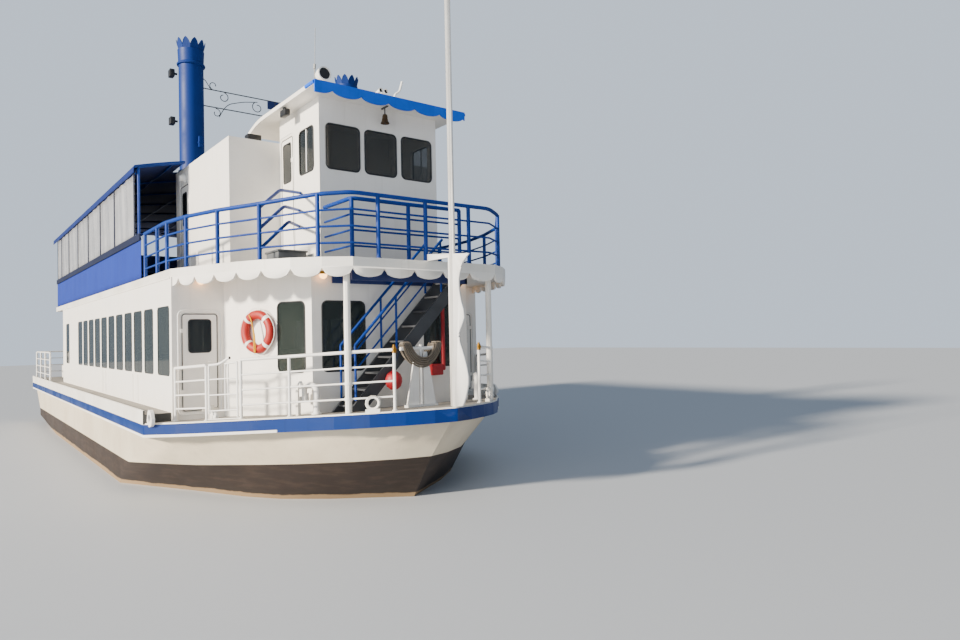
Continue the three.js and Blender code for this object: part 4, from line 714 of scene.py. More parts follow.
def stair_line(z):
    """How far the stair has come across the deck at a height: it climbs from starboard to port."""
    (foot_y, foot_z), (head_y, head_z) = STAIR_FOOT, STAIR_HEAD
    return foot_y + (z - foot_z) / (head_z - foot_z) * (head_y - foot_y) - 0.0204


for node in ("stair_rail_aft", "stair_rail_fwd"):
    low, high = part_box(node)
    x = (low[0] + high[0]) / 2
    rail = [([(x, stair_line(z), z + lift) for z in (1.7, 3.5)], half)
            for lift, half in ((0.87, 0.024), (0.48, 0.015))]
    rail += [upright(x, stair_line(z), z, z + 0.87, 0.019) for z in (1.7, 2.5, 3.46)]
    bars(node + "_pipes", rail, RAIL_BLUE, stands_for=[node])

# %% [markdown]
# ## Solid shapes
# Small fittings are built face by face in bmesh: boxes with softened edges, shapes turned on a lathe, and
# plates cut to an outline. Each call below only describes a part. The parts of a fitting are then added
# to one form, so a fitting of several parts stays one piece.

# %% Boxes, turned shapes and plates
SMOOTH_ANGLE = 35


def part(add):
    """Lets a function that adds to a form be called first and given its form later."""
    return lambda *values, **named: lambda form: add(form, *values, **named)


@part
def box(form, low, high, edge=0.006):
    made = bmesh.ops.create_cube(form, size=1)["verts"]
    for vert in made:
        vert.co = Vector([(low[i] + high[i]) / 2 + vert.co[i] * (high[i] - low[i]) for i in range(3)])
    rims = list({e for v in made for e in v.link_edges})
    bmesh.ops.bevel(form, geom=rims, offset=edge, segments=2, affect="EDGES", profile=0.6)


@part
def turned(form, profile, centre, axis=(0, 0, 1), sides=24):
    """A closed turned shape. profile lists (radius, distance along the axis) from end to end."""
    towards = Vector(axis).to_track_quat("Z", "Y")
    angles = [2 * math.pi * i / sides for i in range(sides)]
    rings = [[form.verts.new(Vector(centre) + towards @ Vector((radius * math.cos(a), radius * math.sin(a), along)))
              for a in (angles if radius > 0 else [0.0])] for radius, along in profile]
    for low, high in zip(rings, rings[1:]):
        for i in range(sides):
            quad = [low[i % len(low)], low[(i + 1) % len(low)], high[(i + 1) % len(high)], high[i % len(high)]]
            corners = list(dict.fromkeys(quad))
            if len(corners) > 2:
                form.faces.new(corners)
    for ring in (rings[0], rings[-1]):
        if len(ring) > 1:
            form.faces.new(ring)


@part
def plate(form, outline, thickness):
    """A plate from its outline, thickened by a vector."""
    front, back = ([form.verts.new(Vector(p) + Vector(shift)) for p in outline] for shift in ((0, 0, 0), thickness))
    form.faces.new(front)
    form.faces.new(back[::-1])
    for i in range(len(front)):
        after = (i + 1) % len(front)
        form.faces.new((front[after], front[i], back[i], back[after]))


def form_mesh(name, parts):
    """Adds parts to an empty form, turns its faces outwards and keeps it as a mesh."""
    form = bmesh.new()
    for add_to in parts:
        add_to(form)
    bmesh.ops.recalc_face_normals(form, faces=form.faces)
    mesh = bpy.data.meshes.new(name)
    form.to_mesh(mesh)
    form.free()
    return mesh


def shaped(name, parts, finish, body="vessel", stands_for=()):
    mesh = form_mesh(name, parts)
    mesh.materials.append(finish)
    mesh.shade_smooth()
    mesh.set_sharp_from_angle(angle=math.radians(SMOOTH_ANGLE))
    return settle(new_object(name, mesh), body, stands_for)


print("edges stay sharp where faces meet at more than", SMOOTH_ANGLE, "degrees")

# %% [markdown]
# ## Windows
# The saloon's panes are glued nearly flush, with a thin rubber gasket round each. A window here is one
# flat face with rounded corners. One tree thickens every face to a pane, and a second turns the same
# outlines to loops and sweeps the gasket along them, so pane and gasket always agree.

# %% Trees for panes and gaskets
WELD = 0.0001

PANES, start = new_tree("window_panes", Thickness=0.006)
raised = wire(PANES, "GeometryNodeExtrudeMesh",
              {"Mesh": start["Geometry"], "Offset Scale": start["Thickness"], "Individual": False}, mode="FACES")[0]
back = wire(PANES, "GeometryNodeFlipFaces", {"Mesh": start["Geometry"]})[0]
both = PANES.nodes.new("GeometryNodeJoinGeometry")
for half_pane in (back, raised):
    fill(PANES, both, {0: half_pane})
end_tree(PANES, wire(PANES, "GeometryNodeMergeByDistance", {"Geometry": both.outputs[0], "Distance": WELD})[0], start)

GASKETS, start = new_tree("window_gaskets", Half=0.01)
end_swept(GASKETS, start, as_curve(GASKETS, start), circle(GASKETS, 8, start["Half"]))
print("pane tree nodes:", len(PANES.nodes), "gasket tree nodes:", len(GASKETS.nodes))

# %% Outlines of upright windows
UP = Vector((0, 0, 1))
CORNER_STEPS = 4


def upright_outline(foot, along, width, low, high, radius):
    """A rounded opening in a wall, whose foot is (x, y) and which runs along a plan direction."""
    along = Vector((along[0], along[1], 0)).normalized()
    reach = width / 2 - radius
    points = []
    for cx, cz, start in ((reach, low + radius, -90), (reach, high - radius, 0),
                          (-reach, high - radius, 90), (-reach, low + radius, 180)):
        for angle in (math.radians(start + 90 * i / CORNER_STEPS) for i in range(CORNER_STEPS + 1)):
            points.append(Vector((foot[0], foot[1], cz + radius * math.sin(angle)))
                          + along * (cx + radius * math.cos(angle)))
    return points


def outline_mesh(outlines, lift):
    """Faces from outlines, each moved along its own outward normal."""
    points, faces = [], []
    for outline in outlines:
        outward = (outline[1] - outline[-2]).cross(UP).normalized()
        faces.append(tuple(range(len(points), len(points) + len(outline))))
        points += [tuple(p + outward * lift) for p in outline]
    mesh = bpy.data.meshes.new("outlines")
    mesh.from_pydata(points, [], faces)
    return mesh


def panes(name, outlines, finish, thickness=0.006, lift=-0.009, body="vessel", stands_for=(), slot=None):
    mesh = grow(name, outline_mesh(outlines, lift), PANES, {"Thickness": thickness}, finish)
    return settle(new_object(name, mesh), body, stands_for)


def gaskets(name, outlines, half, lift=0.0, body="vessel", finish=GASKET):
    mesh = grow(name, outline_mesh(outlines, lift), GASKETS, {"Half": half}, finish)
    return settle(new_object(name, mesh), body)


print("points in a window's outline:", len(upright_outline((0, 0), (1, 0), 1.0, 0.0, 1.0, 0.1)))

# %% Saloon and house windows
SALOON_LOW, SALOON_HIGH, SALOON_CORNER = 2.11, 3.30, 0.07
CABIN_HALF, CABIN_AFT = 3.225, -6.1
HOUSE_LOW, HOUSE_HIGH, HOUSE_ROUND = 2.15, 3.305, 0.09
HOUSE_AFT, HOUSE_FRONT, HOUSE_CORNER, BULKHEAD = 6.9303, 8.8, 1.56, 2.36
SLANT = Vector((HOUSE_FRONT - HOUSE_AFT, HOUSE_CORNER - BULKHEAD, 0))


def on_slant(share, side):
    """A spot on the house's slanted wall, as a share of its run from the bulkhead."""
    return (HOUSE_AFT + SLANT.x * share, side * (BULKHEAD + SLANT.y * share))


saloon_row = [(5.31 - 0.889 * i, 0.70) for i in range(10)] + [(6.385, 0.81), (-5.065, 0.63)]  # x and width
for side_name, side in SIDES:
    row = [upright_outline((x, side * CABIN_HALF), (-side, 0), width, SALOON_LOW, SALOON_HIGH, SALOON_CORNER)
           for x, width in saloon_row]
    panes(f"saloon_panes_{side_name}", row, SALOON_GLASS, stands_for=[f"cabin_glass_{side_name}"])
    gaskets(f"saloon_gaskets_{side_name}", row, 0.007, -0.002)

house_row = []
for _, side in SIDES:
    for foot, along, width in ((on_slant(0.78, side), (-side * SLANT.x, -SLANT.y), 0.60),
                               ((HOUSE_FRONT, side * 0.99), (0, 1), 0.78)):
        house_row.append(upright_outline(foot, along, width, HOUSE_LOW, HOUSE_HIGH, HOUSE_ROUND))
panes("house_panes", house_row, SALOON_GLASS, stands_for=["house_glass"])
gaskets("house_gaskets", house_row, 0.013, 0.001)
aft_row = [upright_outline((CABIN_AFT, side * 1.9), (0, -1), 0.9, SALOON_LOW, SALOON_HIGH, SALOON_CORNER)
           for _, side in SIDES]
panes("aft_wall_panes", aft_row, SALOON_GLASS)
gaskets("aft_wall_gaskets", aft_row, 0.01)

# %% Pilothouse windows
PILOT_HALF, PILOT_FRONT, PILOT_SIDE_X = 1.2, 8.41, 7.895
PILOT_LOW, PILOT_HIGH = DECK_TOP + 1.69, DECK_TOP + 2.465
pilot_row = [upright_outline((PILOT_FRONT, y), (0, 1), width, PILOT_LOW, PILOT_HIGH, 0.08)
             for y, width in ((-0.755, 0.64), (-0.005, 0.64), (0.757, 0.65))]
pilot_row += [upright_outline((PILOT_SIDE_X, side * PILOT_HALF), (-side, 0), 0.59, PILOT_LOW, PILOT_HIGH, 0.08)
              for _, side in SIDES]
panes("pilothouse_panes", pilot_row, PILOT_GLASS, stands_for=["pilothouse_glass"])
gaskets("pilothouse_gaskets", pilot_row, 0.016, 0.002)
bars("window_dividers", [upright(PILOT_SIDE_X, side * (PILOT_HALF + 0.002), PILOT_LOW, PILOT_HIGH, 0.012)
                         for _, side in SIDES], TRIM_WHITE, sides=8)

# %% Door windows, gaskets and frames
PILOT_DOOR = (0.54, 2.44, (0.35, 1.61, 2.33))
CABIN_DOOR = (0.61, 1.67, (0.37, 1.0, 1.56))
CASING_X, CASING_Y, UPPER_SILL = 3.834, -2.16, 3.98
DOORS = [  # body, foot of the leaf's middle, direction along the wall, width, height, window's width and span
    ("cabin_door_stbd", (HOUSE_AFT, -2.769, 1.5), (0, 1), *CABIN_DOOR),
    ("cabin_door_port", (HOUSE_AFT, 2.769, 1.5), (0, 1), *CABIN_DOOR),
    ("cabin_door_aft", (CABIN_AFT, 0.0, 1.56), (0, -1), 0.76, 1.9, (0.42, 1.1, 1.75)),
    ("pilothouse_door_stbd", (7.044, -PILOT_HALF, UPPER_SILL), (1, 0), *PILOT_DOOR),
    ("pilothouse_door_port", (7.044, PILOT_HALF, UPPER_SILL), (-1, 0), *PILOT_DOOR),
    ("casing_door", (CASING_X, CASING_Y, UPPER_SILL), (1, 0), 0.62, 2.04, (0.30, 1.19, 1.88)),
]
for node, foot, along, width, height, (pane_width, pane_low, pane_high) in DOORS:
    sill = foot[2]
    light = [upright_outline(foot, along, pane_width, sill + pane_low, sill + pane_high, 0.05)]
    leaf = [upright_outline(foot, along, width - 0.03, sill + 0.015, sill + height - 0.015, 0.05)]
    surround = [upright_outline(foot, along, width + 0.1, sill - 0.05, sill + height + 0.05, 0.09)]
    panes(node + "_pane", light, DOOR_GLASS_PAINTED_SHADE, 0.005, -0.001, node)
    gaskets(node + "_pane_gasket", light, 0.011, 0.002, node)
    gaskets(node + "_gasket", leaf, 0.008, 0.0, node)
    gaskets(node + "_frame", surround, 0.013, 0.001, finish=TRIM_WHITE)
print("doors dressed:", len(DOORS))

# %% [markdown]
# ## Canopy and its frame
# The upper deck is shaded by one cloth, laced over pipe bows and turned down at both sides. It is made
# as one continuous sheet: a grid whose height is the bows' curve, less a little sag between every two
# frames. The casing and the stacks stand in a notch cut into its forward end.

# %% Canopy sheet
CANOPY_AFT, CANOPY_FRONT, CANOPY_HALF = -8.4, 4.14, 3.212
CANOPY_EDGE, CANOPY_RISE, FASCIA_DROP = 6.234, 0.43, 0.13
CURVE_HALF, SAG, CLOTH_THICK = 3.225, 0.016, 0.004
FRAMES_AT = [4.08, 2.0, 0.25, -1.5, -3.25, -5.0, -6.6, -7.6]
NOTCH_AFT, NOTCH_HALF = 3.09, 2.22


def canopy_height(x, y):
    height = CANOPY_EDGE + CANOPY_RISE * (1 - (y / CURVE_HALF) ** 2)
    for fore, aft in zip(FRAMES_AT, FRAMES_AT[1:]):
        if aft < x < fore:
            slack = SAG * min(1.0, (3.3 - abs(y)) / 0.4)
            return height - slack * math.sin(math.pi * (x - aft) / (fore - aft)) ** 2
    return height


def sheet_piece(name, points, faces, finish, thickness):
    """A sheet without spare points, given its thickness and its cloth."""
    mesh = bpy.data.meshes.new(name)
    mesh.from_pydata(points, [], faces)
    shell = bmesh.new()
    shell.from_mesh(mesh)
    bmesh.ops.delete(shell, geom=[v for v in shell.verts if not v.link_faces], context="VERTS")
    shell.to_mesh(mesh)
    shell.free()
    mesh.materials.append(finish)
    mesh.shade_smooth()
    piece = new_object(name, mesh)
    wall = piece.modifiers.new("thickness", "SOLIDIFY")
    wall.thickness, wall.offset = thickness, 0.0
    return piece


along_x = evenly(CANOPY_AFT, NOTCH_AFT, 92) + evenly(NOTCH_AFT, CANOPY_FRONT, 8)[1:]
half_y = evenly(0, NOTCH_HALF, 12) + evenly(NOTCH_HALF, CANOPY_HALF, 6)[1:]
across_y = [-y for y in reversed(half_y)] + half_y[1:]
section = ([(across_y[0], -FASCIA_DROP * (1 - i / 3)) for i in range(3)] + [(y, 0.0) for y in across_y]
           + [(across_y[-1], -FASCIA_DROP * (i + 1) / 3) for i in range(3)])
canopy_points = [(x, y + 0.004 * math.sin(x * 5.1) * (drop / FASCIA_DROP), canopy_height(x, y) + drop)
                 for x in along_x for y, drop in section]
canopy_faces = []
for i, x in enumerate(along_x[:-1]):
    for j, (y, _) in enumerate(section[:-1]):
        if x < NOTCH_AFT - 0.001 or abs((y + section[j + 1][0]) / 2) >= NOTCH_HALF:
            first = i * len(section) + j
            canopy_faces.append((first, first + len(section), first + len(section) + 1, first + 1))
canopy_cloth = sheet_piece("canopy_cloth", canopy_points, canopy_faces, CANOPY_CLOTH, CLOTH_THICK)
settle(canopy_cloth, stands_for=["canopy"])

# %% Pipe frame under the canopy
POST_Y, PIPE_DROP, PIPES_AFT = 3.115, 0.024, -8.3


def under_cloth(spots, half):
    """A pipe that follows the cloth's underside through spots of (x, y)."""
    return [(x, y, canopy_height(x, y) - PIPE_DROP) for x, y in spots], half


frame_lines = []
for x in FRAMES_AT:
    for _, side in SIDES:
        y = side * POST_Y
        frame_lines += post(x, y, DECK_TOP, canopy_height(x, y) - 0.004, 0.026, 0.055)
    if x < 3.0:
        frame_lines.append(under_cloth([(x, y) for y in evenly(-POST_Y, POST_Y, 24)], 0.021))
frame_lines += [under_cloth([(x, y) for x in evenly(PIPES_AFT, fore, steps)], 0.018)
                for fore, steps, rows in ((4.08, 90, (-POST_Y, -2.45, 2.45, POST_Y)), (3.0, 80, (-1.25, 0.0, 1.25)))
                for y in rows]
frame_lines += [under_cloth([(4.08, side * y) for y in evenly(2.25, POST_Y, 5)], 0.021) for _, side in SIDES]
bars("canopy_pipes", frame_lines, RAIL_BLUE, stands_for=["canopy_frame"], sides=10)
front_trim = [([(CANOPY_FRONT, side * y, canopy_height(CANOPY_FRONT, y) - 0.012)
                for y in evenly(2.24, 3.2, 6)], 0.03) for _, side in SIDES]
front_lip = bars("canopy_front_trim", front_trim, BLUE, sides=8)

# %% [markdown]
# ## Banners and clear curtains
# Along both sides hangs a plain blue banner below the handrail and a clear weather curtain above it.
# Both are single sheets. The banner is pulled tight with a little ripple from its lacing, and the clear
# curtain falls in soft upright folds between its dark straps.

# %% Side sheets and what holds them
BANNER_SPAN, BANNER_Z, BANNER_RAIL_Z = (-7.65, 4.6), (3.9305, 4.7503), 4.8
CURTAIN_SPAN, CURTAIN_Z, TRACK_Z = (-7.56, 4.04), (4.832, 6.125), 6.11
SHEET_ROWS, TIES, STRAP_Z, CURTAIN_TURN_IN = 6, 48, (4.835, 6.12), 0.12
FLAT = {"thickness": 0.004, "lift": 0.0, "slot": "canopy_cloth"}  # straps and hems lie on their sheet


def side_sheet(name, side, x_span, z_span, y, ripple, columns, finish, thickness):
    rows = SHEET_ROWS
    points = [(x, side * (y + ripple(x, j / rows)), z) for x in evenly(*x_span, columns)
              for j, z in enumerate(evenly(*z_span, rows))]
    firsts = [i * (rows + 1) + j for i in range(columns) for j in range(rows)]
    faces = [(first, first + rows + 1, first + rows + 2, first + 1)[::-side] for first in firsts]
    return sheet_piece(name, points, faces, finish, thickness)


def banner_ripple(x, height):
    return 0.004 * math.sin(x * 7.4) * math.sin(math.pi * height) + 0.002 * math.sin(x * 23.0) * height


def curtain_folds(x, height):
    fore = min((p for p in FRAMES_AT if p >= x - 0.01), default=FRAMES_AT[0])
    aft = max((p for p in FRAMES_AT if p <= x + 0.01), default=FRAMES_AT[-1])
    share = (x - aft) / (fore - aft) if fore > aft else 0.0
    free = math.sin(math.pi * min(1.0, max(0.0, share)))
    slant = x * 9.0 + height * 2.2 + math.sin(x * 2.3)
    return 0.009 * free * math.sin(slant) + 0.004 * free * math.sin(slant * 2.3 + 1.0)


def lengthwise(span, y, z, half):
    return [(x, y, z) for x in span], half


def flat_size(span, height, spare=0.0):
    return (span[1] - span[0] + spare, height[1] - height[0])


for side_name, side in SIDES:
    banner = side_sheet(f"banner_{side_name}", side, BANNER_SPAN, BANNER_Z, 3.19, banner_ripple, 160,
                        BANNER_CLOTH, 0.003)
    settle(banner, stands_for=[f"side_panel_{side_name}"])
    carrier = [lengthwise(BANNER_SPAN, side * 3.176, BANNER_RAIL_Z, 0.028)]
    for x in FRAMES_AT:
        carrier += post(x + 0.16, side * 3.158, DECK_TOP, BANNER_RAIL_Z, 0.02, 0.04)
    carrier.append(lengthwise(BANNER_SPAN, side * 3.172, 4.0, 0.012))
    bars(f"banner_rail_{side_name}", carrier, NAVY)
    ties = [([(x, side * (3.176 + 0.033 * math.sin(a)), 4.765 + 0.066 * math.cos(a))
              for a in evenly(0, 2 * math.pi, 8)], 0.004)
            for x in evenly(BANNER_SPAN[0] + 0.1, BANNER_SPAN[1] - 0.1, TIES)]
    lacing = bars(f"banner_lacing_{side_name}", ties, WEBBING, sides=5)
    hem_outline = upright_outline((sum(BANNER_SPAN) / 2, side * 3.213), (-side, 0),
                                  BANNER_SPAN[1] - BANNER_SPAN[0], 4.69, 4.829, 0.012)
    hem = panes(f"banner_hem_{side_name}", [hem_outline], WEBBING, **FLAT)

    curtain = side_sheet(f"curtain_sheet_{side_name}", side, CURTAIN_SPAN, CURTAIN_Z, 3.183, curtain_folds, 260,
                         CURTAIN_CLEAR, 0.002)
    settle(curtain, stands_for=[f"curtain_{side_name}"])
    bars(f"curtain_track_{side_name}", [lengthwise(CURTAIN_SPAN, side * 3.163, TRACK_Z, 0.02)], RAIL_BLUE)
    strap_spots = [(x, 0.085) for x in FRAMES_AT[1:-1]]
    strap_spots += [(x, 0.06) for x in (CURTAIN_SPAN[0] + 0.03, CURTAIN_SPAN[1] - 0.03)]
    straps = panes(f"curtain_straps_{side_name}",
                   [upright_outline((x, side * 3.192), (-side, 0), width, *STRAP_Z, 0.012)
                    for x, width in strap_spots], WEBBING, **FLAT)
print("banner:", flat_size(BANNER_SPAN, BANNER_Z), "curtain:", flat_size(CURTAIN_SPAN, CURTAIN_Z, CURTAIN_TURN_IN))

# %% [markdown]
# ## Twin stacks
# The stacks are ornamental: a plain pipe, a rolled ring, a slightly wider sleeve, and a crown of leaf
# shaped petals cut from plate. The petals repeat round a circle, so one petal is made and a Geometry
# Nodes tree places it on the points of a ring, turned outwards and leaned back.

# %% Petal crown tree
CROWN, start = new_tree("petal_crown", Count=10, Radius=0.26, Lean=0.15)
spots = wire(CROWN, "GeometryNodeCurveToPoints", {"Curve": circle(CROWN, start["Count"], start["Radius"])},
             mode="EVALUATED")["Points"]
facing = wire(CROWN, "FunctionNodeAlignRotationToVector",
              {"Vector": CROWN.nodes.new("GeometryNodeInputPosition").outputs[0]}, axis="X")[0]
placed = wire(CROWN, "GeometryNodeInstanceOnPoints",
              {"Points": spots, "Instance": start["Geometry"], "Rotation": facing})[0]
tilt = wire(CROWN, "ShaderNodeCombineXYZ", {1: start["Lean"]})[0]
end_tree(CROWN, wire(CROWN, "GeometryNodeRotateInstances", {"Instances": placed, "Rotation": tilt})[0], start)
print("crown tree nodes:", len(CROWN.nodes))

# %% Stacks, crowns, lamps and cleats
STACK_X, STACK_Y, STACK_RADIUS, SLEEVE_RADIUS = 3.46, 1.9, 0.257, 0.276
STACK_FOOT, STACK_TOP, RING_DROP = 6.4003, 9.33, 0.58
PETALS, PETAL_HALF, PETAL_HEIGHT, PETAL_THICK = 10, 0.083, 0.27, 0.014
HALF_PETAL = [(0.97, 0.0), (1.05, 0.25), (0.98, 0.5), (0.72, 0.74), (0.35, 0.91)]
PETAL_OUTLINE = [(-y, z) for y, z in HALF_PETAL] + [(0.0, 1.0)] + HALF_PETAL[::-1]
NECK = STACK_TOP - PETAL_HEIGHT + 0.01
RING_AT = STACK_TOP - RING_DROP
STACK_PROFILE = [
    (0, STACK_FOOT), (STACK_RADIUS + 0.03, STACK_FOOT), (STACK_RADIUS + 0.03, STACK_FOOT + 0.02),
    (STACK_RADIUS, STACK_FOOT + 0.022), (STACK_RADIUS, RING_AT),
    (SLEEVE_RADIUS + 0.012, RING_AT + 0.008), (SLEEVE_RADIUS + 0.02, RING_AT + 0.03),
    (SLEEVE_RADIUS + 0.012, RING_AT + 0.052), (STACK_RADIUS + 0.004, RING_AT + 0.07),
    (SLEEVE_RADIUS, NECK + 0.02), (SLEEVE_RADIUS - 0.03, NECK + 0.02),
    (STACK_RADIUS - 0.04, NECK - 0.2), (0, NECK - 0.2)]


def side_box(side, x_span, near, far, z_span, edge=0.006):
    """A soft-edged box whose y runs from near to far on one side of the boat."""
    low_y, high_y = sorted((side * near, side * far))
    return box((x_span[0], low_y, z_span[0]), (x_span[1], high_y, z_span[1]), edge)


petal = [plate([(-0.35 * PETAL_HALF * (y * y) * (1 - z), y * PETAL_HALF, z * PETAL_HEIGHT)
                for y, z in PETAL_OUTLINE], (PETAL_THICK, 0, 0))]
for side_name, side in SIDES:
    shaped(f"stack_pipe_{side_name}", [turned(STACK_PROFILE, (STACK_X, side * STACK_Y, 0), sides=40)], BLUE,
           stands_for=[f"stack_{side_name}"])
    crown = grow(f"stack_crown_{side_name}", form_mesh("petal", petal), CROWN,
                 {"Count": PETALS, "Radius": SLEEVE_RADIUS - 0.022, "Lean": 0.13}, BLUE)
    crown.transform(Matrix.Translation((STACK_X, side * STACK_Y, NECK - 0.015)))
    settle(new_object(f"stack_crown_{side_name}", crown))
    skin = STACK_Y + STACK_RADIUS
    lamps = []
    for z in (8.58, 7.53):
        lamps += [side_box(side, (3.30, 3.34), skin, skin + 0.1, (z - 0.02, z + 0.02), 0.004),
                  side_box(side, (3.24, 3.42), skin + 0.07, skin + 0.17, (z - 0.09, z + 0.07), 0.012)]
    shaped(f"stack_lamps_{side_name}", lamps, BLACK)
    shaped(f"stack_cleat_{side_name}", [side_box(side, (3.64, 3.80), 1.75, 1.85, (7.0, 7.04)),
                                        side_box(side, (3.70, 3.78), 1.76, 1.84, (6.92, 7.16), 0.012)], BLUE)

# %% [markdown]
# Between the stacks runs a brace of two thin bars with wrought scrolls, and a blue plate at its middle.
# A scroll is an arc whose radius shrinks as it turns, so a short formula gives every curl.

# %% Scroll brace
BRACE_LOW, BRACE_HIGH = 7.948, 8.338
BRACE_MIDDLE = (BRACE_LOW + BRACE_HIGH) / 2
BRACE_REACH = STACK_Y - STACK_RADIUS
TIGHTEN, SCROLL_STEPS = 0.55, 22
SCROLLS = [  # centre across and up, radius, first angle, turns, half width
    (1.42, BRACE_HIGH + 0.1, 0.1, -100, 0.8, 0.009), (1.2, BRACE_MIDDLE + 0.07, 0.115, 100, 0.95, 0.01),
    (1.36, BRACE_LOW - 0.12, 0.1, 80, 0.85, 0.009), (0.42, BRACE_MIDDLE - 0.02, 0.13, 60, -0.95, 0.01)]
UPPER_TAIL = [(BRACE_REACH, BRACE_HIGH + 0.22), (1.58, BRACE_HIGH + 0.16), (1.5, BRACE_HIGH + 0.03),
              (1.42, BRACE_HIGH)]
LONG_TAIL = [(1.3, BRACE_LOW - 0.2), (1.2, BRACE_LOW), (1.08, BRACE_MIDDLE - 0.06), (0.75, BRACE_MIDDLE + 0.05),
             (0.42, BRACE_MIDDLE + 0.11)]


def in_brace(side, path):
    return [(STACK_X, side * y, z) for y, z in path]


def scroll(y, z, radius, start, turns):
    """A curl wound inwards from its outer end, as (across, up)."""
    path = []
    for share in evenly(0, 1, SCROLL_STEPS):
        angle = math.radians(start) + turns * 2 * math.pi * share
        size = radius * (1 - TIGHTEN * share)
        path.append((y + size * math.cos(angle), z + size * math.sin(angle)))
    return path


brace = [(in_brace(1, [(-BRACE_REACH, z), (BRACE_REACH, z)]), 0.013) for z in (BRACE_LOW, BRACE_HIGH)]
for _, side in SIDES:
    brace += [(in_brace(side, scroll(*curl)), half) for *curl, half in SCROLLS]
    brace += [(in_brace(side, UPPER_TAIL), 0.009), (bent(in_brace(side, LONG_TAIL), 0.1, 5), 0.009)]
brace.append(upright(STACK_X, 0, BRACE_LOW, BRACE_HIGH, 0.013))
bars("brace_scrolls", brace, DARK, stands_for=["stack_brace"], sides=8)
shaped("brace_plate", [box((STACK_X - 0.01, -0.18, BRACE_MIDDLE), (STACK_X + 0.01, 0.18, BRACE_HIGH), 0.004)], NAVY)

# %% [markdown]
# ## Pilothouse roof
# The roof is a white slab that droops at its aft end, with a blue scalloped board across the front. A
# scallop is a half ellipse, so the board's edge comes from one formula. The bell, the twin horns and the
# pillar of the radar are turned shapes and pipes that stand on the slab or hang under it.

# %% Roof slab and scalloped board
ROOF_LOW, ROOF_THICK, ROOF_HALF, ROOF_FRONT = 6.8153, 0.07, 1.51, 8.94
ROOF_TOP = ROOF_LOW + ROOF_THICK
ROOF_SIDE = [(ROOF_FRONT - 0.031, 0.0), (6.625, 0.0), (6.45, -0.01), (6.25, -0.035), (6.05, -0.08), (5.87, -0.128)]
STRIP, LOBE_DROP, LOBE, LOBE_START, BOARD_TOP = 0.06, 0.15, 0.534, -1.724, ROOF_LOW + 0.02


def scallop(y):
    """Height of the board's lower edge: half ellipses side by side."""
    across = ((y - LOBE_START) / LOBE % 1.0) * 2 - 1
    return BOARD_TOP - STRIP - (LOBE_DROP - STRIP) * math.sqrt(max(0.0, 1 - across * across))


slab = [(x, -ROOF_HALF, ROOF_TOP + z) for x, z in ROOF_SIDE]
slab += [(x, -ROOF_HALF, ROOF_LOW + z) for x, z in reversed(ROOF_SIDE)]
shaped("roof_slab", [plate(slab, (0, 2 * ROOF_HALF, 0))], WHITE, stands_for=["pilothouse_roof"])
board = [(ROOF_FRONT, y, scallop(y)) for y in evenly(-ROOF_HALF, ROOF_HALF, 120)]
board += [(ROOF_FRONT, side * ROOF_HALF, ROOF_TOP + 0.004) for side in (1, -1)]
shaped("roof_board", [plate(board, (-0.03, 0, 0))], BOARD_BLUE_PAINTED_SKYLIGHT)
bars("roof_corner_trim", [lengthwise((8.925, 8.60), side * (ROOF_HALF - 0.004), ROOF_LOW + 0.035, 0.034)
                          for _, side in SIDES], BOARD_BLUE_PAINTED_SKYLIGHT, sides=8)

# %% Bell, horns and radar pillar
BELL_X, BELL_Y = 8.56, 0.006
BELL_PROFILE = [(0, -0.13), (0.022, -0.13), (0.038, -0.14), (0.046, -0.165), (0.049, -0.205), (0.056, -0.245),
                (0.07, -0.278), (0.08, -0.292), (0.08, -0.298), (0.074, -0.298), (0.052, -0.26), (0, -0.24)]
HORN_PROFILE = [(0, 8.08), (0.03, 8.085), (0.034, 8.12), (0.014, 8.17), (0.014, 8.22), (0.02, 8.3),
                (0.03, 8.4), (0.045, 8.46), (0.038, 8.462), (0.024, 8.42), (0, 8.41)]
HORN_YS, HORN_Z = (-0.005, 0.1), ROOF_TOP + 0.265
shaped("bell", [turned(BELL_PROFILE, (BELL_X, BELL_Y, ROOF_LOW))], BELL_BRONZE)
bars("bell_bracket", [upright(BELL_X, BELL_Y, ROOF_LOW, ROOF_LOW - 0.15, 0.012),
                      upright(BELL_X, BELL_Y, ROOF_LOW - 0.24, ROOF_LOW - 0.32, 0.009),
                      lengthwise((BELL_X - 0.1, BELL_X + 0.1), BELL_Y, ROOF_LOW - 0.004, 0.02)], DARK)
horns = []
for y in HORN_YS:
    horns += [turned(HORN_PROFILE, (0, y, HORN_Z), (1, 0, 0), 20),
              turned([(0.014, 0), (0.014, 0.26)], (8.2, y, ROOF_TOP), sides=12)]
horns.append(box((8.14, -0.05, ROOF_TOP - 0.002), (8.26, 0.15, ROOF_TOP + 0.02), 0.005))
shaped("horns", horns, TRIM_WHITE)
shaped("horn_mouths", [turned([(0, 8.412), (0.034, 8.44), (0, 8.446)], (0, y, HORN_Z), (1, 0, 0), 20)
                       for y in HORN_YS], BLACK)
shaped("radar_pillar", [turned([(0.1, 0), (0.1, 0.012), (0.06, 0.016), (0.06, 0.635)], (6.9, 0.95, ROOF_TOP))],
       TRIM_WHITE)
wiper = [(8.5, 0.25, ROOF_TOP), (8.5, 0.25, ROOF_TOP + 0.22), (8.5, 0.36, ROOF_TOP + 0.3),
         (8.5, 0.415, ROOF_TOP + 0.49)]
bars("roof_wiper_arm", [(bent(wiper, 0.05, 4), 0.02)], TRIM_WHITE)

